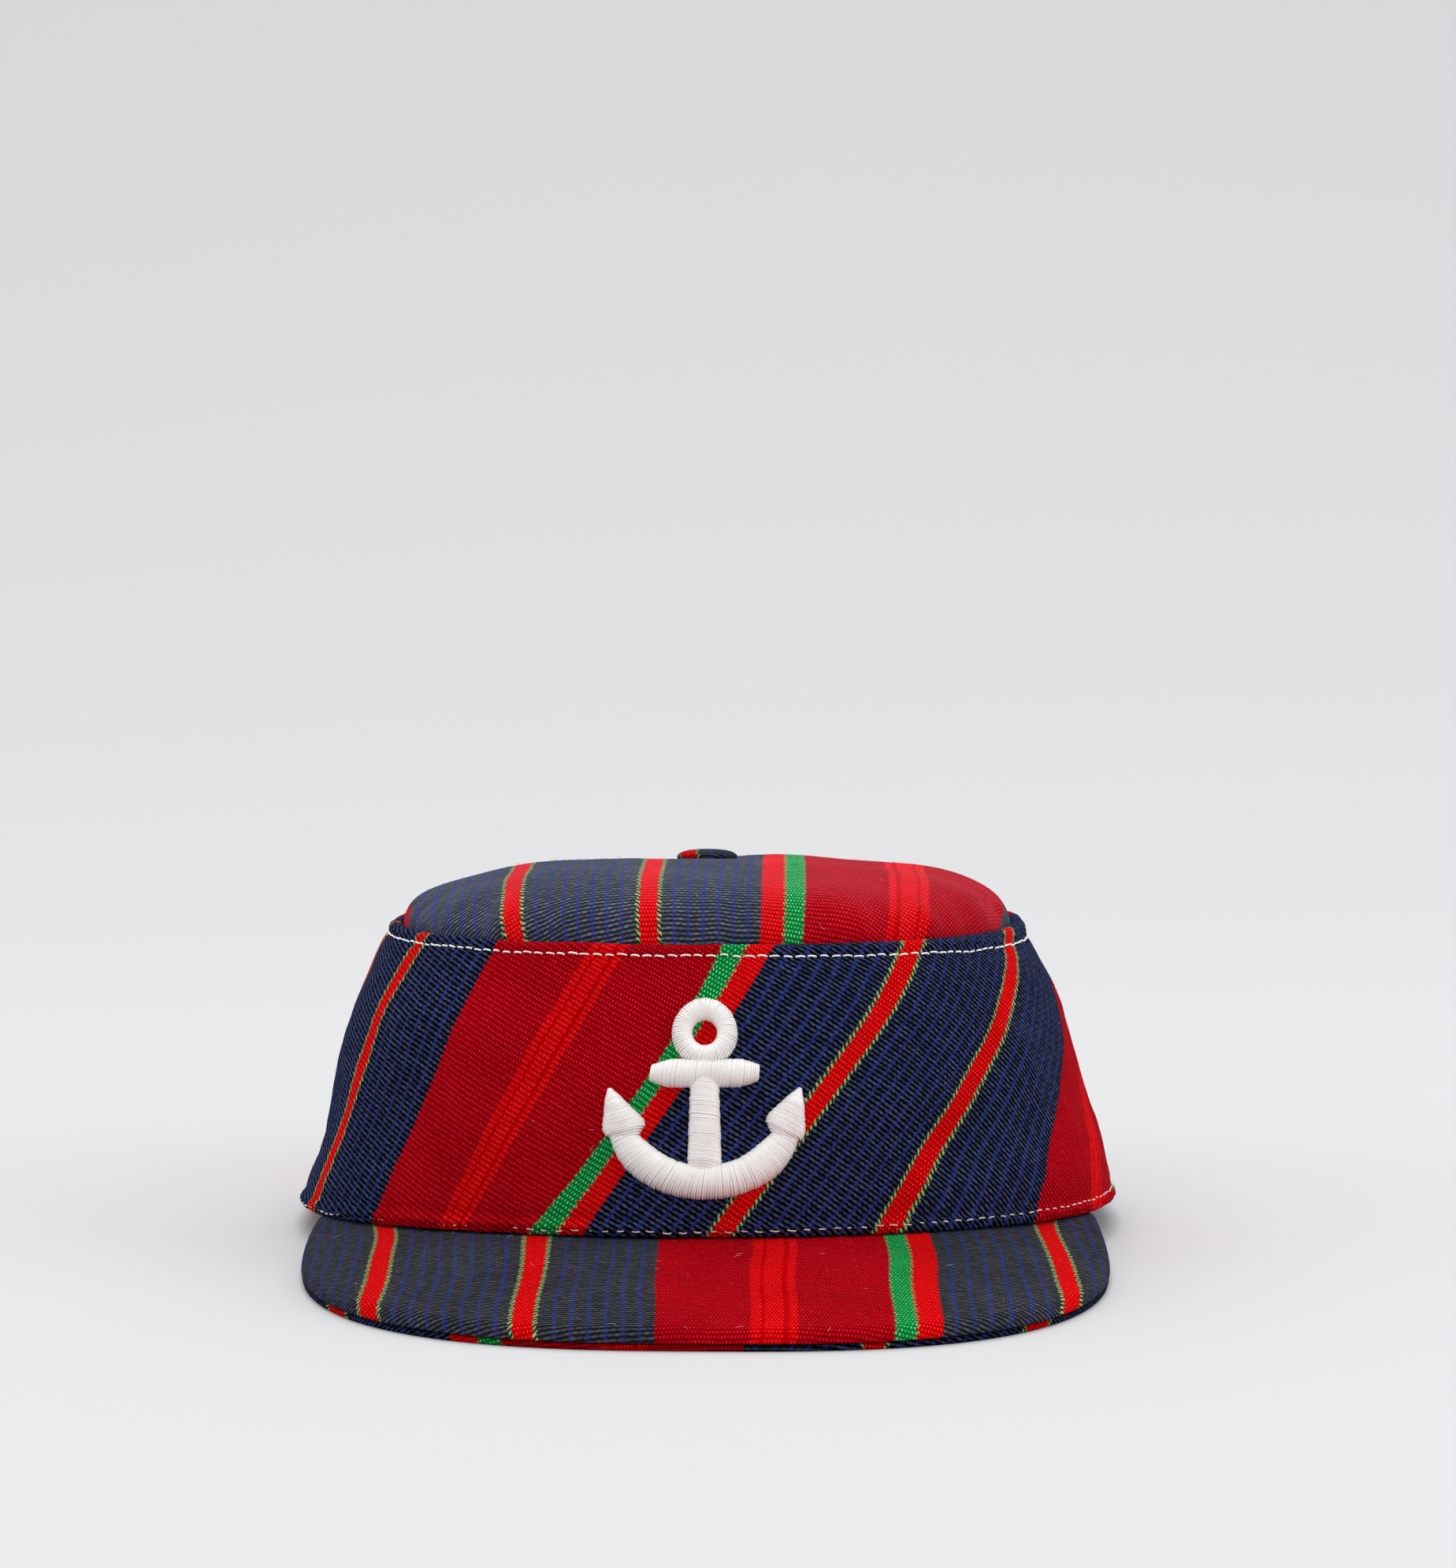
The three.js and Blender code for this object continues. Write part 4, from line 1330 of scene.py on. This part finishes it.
def lay_on_wall(x, y, height):
    """Flat places of the motif, in millimetres, laid on the wall with their height outwards."""
    sew = settings("cap_stitches")
    reach = crown_y() - wall_point(0.0, sew.motif_rise)[1]
    slant = np.linalg.norm(wall_point(0.0, 1.0) - wall_point(0.0, 0.0))

    def place(u, v):
        return wall_point(u * MM / reach, sew.motif_rise + v * MM / slant)

    point = place(x, y)
    right = place(x + 0.02, y) - place(x - 0.02, y)
    up = place(x, y + 0.02) - place(x, y - 0.02)
    normal = unit(np.cross(right, up))
    return point + normal * (np.asarray(height) * MM)[..., None]


def anchor_strokes():
    """Each stroke of the anchor: its centre line, its width along it, its lift, and whether it is a loop."""
    strokes = []
    half = ANCHOR_ARMS["turn"]
    for arc, turn, lift, loop in (
        (ANCHOR_RING, np.linspace(0, 2 * np.pi, 121), 0.0, True),
        (ANCHOR_ARMS, np.linspace(-half, half, 121) - np.pi / 2, 0.15, False),
    ):
        line = np.stack((arc["radius"] * np.cos(turn), arc["y"] + arc["radius"] * np.sin(turn)), axis=1)
        strokes.append((line, np.full(len(turn), arc["width"]), lift, loop))
    t = np.linspace(0, 1, 121)[:, None]
    for start, end, width, lift in ANCHOR_STROKES:
        line = np.array(start) * (1 - t) + np.array(end) * t
        taper = width[0] + (width[1] - width[0]) * t[:, 0]
        if width[0] > 2 * width[1]:
            taper = taper * np.sqrt(np.minimum(1, 0.25 + t[:, 0] / 0.4))
        strokes.append((line, taper, lift, False))
    return strokes


def stroke_frame(line, width, loop):
    """The run along a stroke, its sideways direction, and its width and height with rounded ends."""
    ahead = np.gradient(line, axis=0)
    if loop:
        ahead[0] = ahead[-1] = ahead[0] + ahead[-1]
    ahead = unit(ahead)
    aside = np.stack((-ahead[:, 1], ahead[:, 0]), axis=1)
    t = np.linspace(0, 1, len(line))
    inward = np.minimum(t, 1 - t) / 0.18
    round_end = np.ones(len(line)) if loop else np.sqrt(np.minimum(1, 0.3 + 0.7 * inward))
    high = settings("cap_stitches").satin_height / MM * np.minimum(1, width / 4) * round_end
    return run_along(line), ahead, aside, width * round_end, high


def make_embroidery():
    """The raised anchor: satin threads laid across a padded core."""
    sew = settings("cap_stitches")
    chance = np.random.RandomState(41)
    paths = []
    cores = []
    turn = np.linspace(np.pi, 0, 13)
    for line, width, lift, loop in anchor_strokes():
        run, ahead, aside, wide, high = stroke_frame(line, width, loop)
        number = max(8, int(run[-1] / (sew.satin_pitch / MM)))
        at = (np.arange(number) + 0.5) / number * run[-1]
        for place in at:
            centre, side, front = (
                np.array([np.interp(place, run, column) for column in rows.T])
                for rows in (line, aside, ahead)
            )
            half = np.interp(place, run, wide) / 2 * chance.uniform(0.98, 1.03)
            rise = np.interp(place, run, high) + lift
            across = np.cos(turn) * half
            slant = 0.12 * across + chance.uniform(-0.05, 0.05)
            flat = centre + across[:, None] * side + slant[:, None] * front
            height = np.sin(turn) ** 0.8 * rise + chance.uniform(-0.03, 0.03)
            height[[0, -1]] = -0.25
            paths.append(lay_on_wall(flat[:, 0], flat[:, 1], height + 0.05))
        arch = np.linspace(np.pi, 0, 15)
        inner = np.maximum(wide / 2 - 0.2, 0.1)[:, None]
        across = np.cos(arch)[None] * inner
        flat = line[:, None] + across[..., None] * aside[:, None]
        height = np.sin(arch)[None] ** 0.8 * np.maximum(high + lift - 0.2, 0.1)[:, None] + 0.05
        height[:, [0, -1]] = -0.3
        cores.append(lay_on_wall(flat[..., 0], flat[..., 1], height))
    satin = named_material("satin thread")
    threads = add_piece("anchor_satin", edge_mesh("anchor_satin", paths))
    grow(threads, thread_tree("Satin threads"), Radius=sew.satin_radius, Sides=6, Material=satin)
    pad = add_piece("anchor_pad", join_cores(cores), satin)
    return threads, pad


def join_cores(cores):
    """The padded cores of the strokes as one mesh of closed strips."""
    shape = bmesh.new()
    for grid in cores:
        rows, columns = grid.shape[:2]
        verts = [[shape.verts.new(grid[i, j]) for j in range(columns)] for i in range(rows)]
        for i in range(rows - 1):
            for j in range(columns):
                following = (j + 1) % columns
                shape.faces.new((verts[i][j], verts[i + 1][j], verts[i + 1][following], verts[i][following]))
        shape.faces.new(verts[0])
        shape.faces.new(verts[-1][::-1])
    bmesh.ops.recalc_face_normals(shape, faces=shape.faces)
    mesh = bpy.data.meshes.new("anchor_pad")
    shape.to_mesh(mesh)
    shape.free()
    mesh.polygons.foreach_set("use_smooth", np.ones(len(mesh.polygons), bool))
    return mesh


def stripe_tint(place):
    """The plain colour of the stripe at each millimetre of the repeat."""
    c = settings("cap_colours")
    tints = {"crimson": c.crimson, "crimson_line": c.crimson, "bright": c.red, "red": c.red}
    tints |= {"green": c.green, "ground": c.top_ground}
    starts = np.array([at for at, _ in STRIPES])
    rows = np.array([tuple(tints[kind]) for _, kind in STRIPES])
    return rows[np.searchsorted(starts, place % REPEAT, side="right") - 1]


def surface_sample(piece, number, chance, keep):
    """Random places on a piece, even by area, with their normals and stripe tints."""
    mesh = piece.data
    mesh.calc_loop_triangles()
    triangles = np.empty(len(mesh.loop_triangles) * 3, np.int32)
    corners = np.empty(len(mesh.loop_triangles) * 3, np.int32)
    mesh.loop_triangles.foreach_get("vertices", triangles)
    mesh.loop_triangles.foreach_get("loops", corners)
    points = np.empty(len(mesh.vertices) * 3)
    mesh.vertices.foreach_get("co", points)
    points = points.reshape(-1, 3)[triangles.reshape(-1, 3)]
    places = np.empty(len(mesh.loops) * 2)
    mesh.uv_layers["cloth"].data.foreach_get("uv", places)
    places = places.reshape(-1, 2)[corners.reshape(-1, 3)]
    cross = np.cross(points[:, 1] - points[:, 0], points[:, 2] - points[:, 0])
    area = np.linalg.norm(cross, axis=1)
    normal = cross / np.maximum(area, 1e-15)[:, None]
    weight = area * keep(points.mean(axis=1), normal)
    pick = chance.choice(len(area), number, p=weight / weight.sum())
    mix = chance.dirichlet((1, 1, 1), number)
    place = np.einsum("nk,nkd->nd", mix, points[pick])
    stripe = np.einsum("nk,nkd->nd", mix, places[pick])[:, 0] / MM
    return place, normal[pick], stripe_tint(stripe)


def make_loose_fibres():
    """The cloth's short nap and a few pale stray fibres on it."""
    sew = settings("cap_stitches")
    c = settings("cap_colours")
    chance = np.random.RandomState(51)
    middle = np.array((0.0, crown_y(), 0.0))

    def outside(at, normal):
        away = at - middle
        away[:, 2] = np.maximum(away[:, 2], 0.0) * 1.6
        return ((away * normal).sum(axis=1) > 0.004) * (at[:, 2] > 0.003)

    t = np.linspace(0, 1, 5)[:, None]
    for name, setting, longest, radius, tall, pale in FIBRES:
        paths = []
        tints = []
        for host, part in FIBRE_HOSTS:
            number = int(getattr(sew, setting) * part)
            place, normal, tint = surface_sample(bpy.data.objects[host], number, chance, outside)
            for at, out, plain in zip(place, normal, tint):
                heading = unit(np.cross(out, chance.normal(size=3)))
                sideways = np.cross(out, heading)
                size = chance.uniform(0.35, 1.0) * longest * MM
                lift = chance.uniform(0.25, 1.0) * tall
                curl = chance.uniform(-0.9, 0.9)
                rise = lift * size * t * (1.4 - t) + 0.03 * MM
                paths.append(at + heading * t * size + out * rise + sideways * curl * size * t * t)
                bleach = pale * chance.uniform(0.6, 1.0)
                tone = np.array(plain) * (1 - pale) + np.array(tuple(c.lint)) * bleach
                tints.append(np.tile((*tone, 1.0), (5, 1)))
        piece = add_piece(name, edge_mesh(name, paths, tint=np.concatenate(tints)))
        tree = bpy.data.node_groups.get("Fibres") or thread_tree("Fibres")
        yield grow(piece, tree, Radius=radius * MM, Sides=3, Material=named_material("loose fibres"))


# The stage.


def make_stage():
    """A pale floor that sweeps up into a backdrop, soft light and the camera."""
    look = settings("cap_stage")
    bend = np.linspace(0, SWEEP_TURN, 25)
    floor_y = np.concatenate((FLOOR_FRONT, SWEEP_START + SWEEP_RADIUS * np.sin(bend)))
    floor_z = np.concatenate((np.zeros(len(FLOOR_FRONT)), SWEEP_RADIUS * (1 - np.cos(bend))))
    x = np.linspace(-FLOOR_HALF_WIDTH, FLOOR_HALF_WIDTH, 9)
    points = np.stack(np.broadcast_arrays(x[None], floor_y[:, None], floor_z[:, None]), axis=-1)
    mesh = grid_mesh("floor_sweep", points, points[..., :2])
    material, w, shader = principled("pale floor")
    place = w.node("ShaderNodeTexCoord").outputs["Object"]
    grain = w.fade(w.noise(place, 900.0, 3.0, 0.6), 0.3, 0.7)
    pale = tuple(look.floor)
    tint = w.mix(grain, (*(0.985 * v for v in pale), 1.0), (*pale, 1.0))
    w.join(shader.inputs["Base Color"], tint)
    shader.inputs["Roughness"].default_value = 0.9
    shader.inputs["Specular IOR Level"].default_value = 0.1
    floor = add_piece("floor_sweep", mesh, material)

    world = bpy.data.worlds.new("even light")
    world.use_nodes = True
    sky = world.node_tree.nodes["Background"]
    sky.inputs["Color"].default_value = SKY_TINT
    sky.inputs["Strength"].default_value = look.sky
    bpy.context.scene.world = world
    for name, setting, size, place, aim in SOFT_LIGHTS:
        lamp = bpy.data.lights.new(name, "AREA")
        lamp.shape = "DISK"
        lamp.size = size
        lamp.energy = getattr(look, setting)
        light = bpy.data.objects.new(name, lamp)
        light.location = place
        heading = np.array(aim) - np.array(place)
        light.rotation_euler = (
            math.atan2(math.hypot(heading[0], heading[1]), -heading[2]),
            0.0,
            math.atan2(heading[1], heading[0]) - math.pi / 2,
        )
        bpy.context.collection.objects.link(light)

    sun = bpy.data.lights.new("window light", "SUN")
    sun.energy = look.window
    sun.angle = WINDOW_SPREAD
    window = bpy.data.objects.new("window light", sun)
    window.rotation_euler = WINDOW_TURN
    bpy.context.collection.objects.link(window)

    lens = bpy.data.cameras.new("camera")
    lens.sensor_fit = "HORIZONTAL"
    lens.sensor_width = 36.0
    lens.lens = look.focal
    lens.clip_start = 0.05
    lens.clip_end = 20.0
    camera = bpy.data.objects.new("camera", lens)
    camera.location = (look.aside, crown_y() - look.distance, look.height)
    camera.rotation_euler = (math.pi / 2 - look.pitch, 0.0, 0.0)
    bpy.context.collection.objects.link(camera)
    bpy.context.scene.camera = camera
    bpy.context.scene.view_settings.view_transform = "Standard"


# Operators, one for each piece or group of like pieces.


def dress(piece, node=None):
    """Puts a finished piece on the body, in place of a CAD node if one is given."""
    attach(piece, "root")
    if node:
        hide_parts(node)


class CAP_OT_side_band(bpy.types.Operator):
    """Make the bias-cut wall of the crown"""

    bl_idname = "cap.side_band"
    bl_label = "Side Band"

    def execute(self, context):
        band = make_side_band()
        dress(band, "side_band")
        return {"FINISHED"}


class CAP_OT_top_panel(bpy.types.Operator):
    """Make the domed top of the crown"""

    bl_idname = "cap.top_panel"
    bl_label = "Top Panel"

    def execute(self, context):
        panel = make_top_panel()
        dress(panel, "top_panel")
        return {"FINISHED"}


class CAP_OT_top_button(bpy.types.Operator):
    """Make the covered button on the top"""

    bl_idname = "cap.top_button"
    bl_label = "Top Button"

    def execute(self, context):
        button = make_top_button()
        dress(button, "top_button")
        return {"FINISHED"}


class CAP_OT_visor(bpy.types.Operator):
    """Make the upper and lower covers of the visor"""

    bl_idname = "cap.visor"
    bl_label = "Visor"

    def execute(self, context):
        top, under = make_visor()
        dress(top, "visor_top")
        dress(under, "visor_under")
        return {"FINISHED"}


class CAP_OT_topstitching(bpy.types.Operator):
    """Sew the two lines of white stitches round the wall"""

    bl_idname = "cap.topstitching"
    bl_label = "Topstitching"

    def execute(self, context):
        for piece in make_topstitching():
            dress(piece)
        return {"FINISHED"}


class CAP_OT_embroidery(bpy.types.Operator):
    """Embroider the raised anchor on the front"""

    bl_idname = "cap.embroidery"
    bl_label = "Embroidery"

    def execute(self, context):
        threads, pad = make_embroidery()
        dress(threads, "front_embroidery")
        dress(pad)
        return {"FINISHED"}


class CAP_OT_loose_fibres(bpy.types.Operator):
    """Grow the cloth's nap and scatter a few stray fibres"""

    bl_idname = "cap.loose_fibres"
    bl_label = "Loose Fibres"

    def execute(self, context):
        for piece in make_loose_fibres():
            dress(piece)
        return {"FINISHED"}


class CAP_OT_stage(bpy.types.Operator):
    """Set up the floor, the light and the camera"""

    bl_idname = "cap.stage"
    bl_label = "Stage"

    def execute(self, context):
        make_stage()
        return {"FINISHED"}


OPERATORS = (
    CAP_OT_stage,
    CAP_OT_side_band,
    CAP_OT_top_panel,
    CAP_OT_top_button,
    CAP_OT_visor,
    CAP_OT_topstitching,
    CAP_OT_embroidery,
    CAP_OT_loose_fibres,
)


class CAP_PT_pieces(bpy.types.Panel):
    """The cap's pieces and their settings"""

    bl_idname = "CAP_PT_pieces"
    bl_label = "Striped Cap"
    bl_space_type = "VIEW_3D"
    bl_region_type = "UI"
    bl_category = "Cap"

    def draw(self, context):
        for operator in OPERATORS:
            self.layout.operator(operator.bl_idname)
        for name, group in GROUPS:
            box = self.layout.box()
            box.label(text=group.__doc__)
            for label in group.__annotations__:
                box.prop(getattr(context.scene, name), label)


def register():
    for name, group in GROUPS:
        bpy.utils.register_class(group)
        setattr(bpy.types.Scene, name, PointerProperty(type=group))
    for item in (*OPERATORS, CAP_PT_pieces):
        bpy.utils.register_class(item)


def unregister():
    for item in (CAP_PT_pieces, *reversed(OPERATORS)):
        bpy.utils.unregister_class(item)
    for name, group in reversed(GROUPS):
        delattr(bpy.types.Scene, name)
        bpy.utils.unregister_class(group)


def main():
    register()
    bpy.ops.cap.stage()
    bpy.ops.cap.side_band()
    bpy.ops.cap.top_panel()
    bpy.ops.cap.top_button()
    bpy.ops.cap.visor()
    bpy.ops.cap.topstitching()
    bpy.ops.cap.embroidery()
    bpy.ops.cap.loose_fibres()


if __name__ == "__main__":
    main()
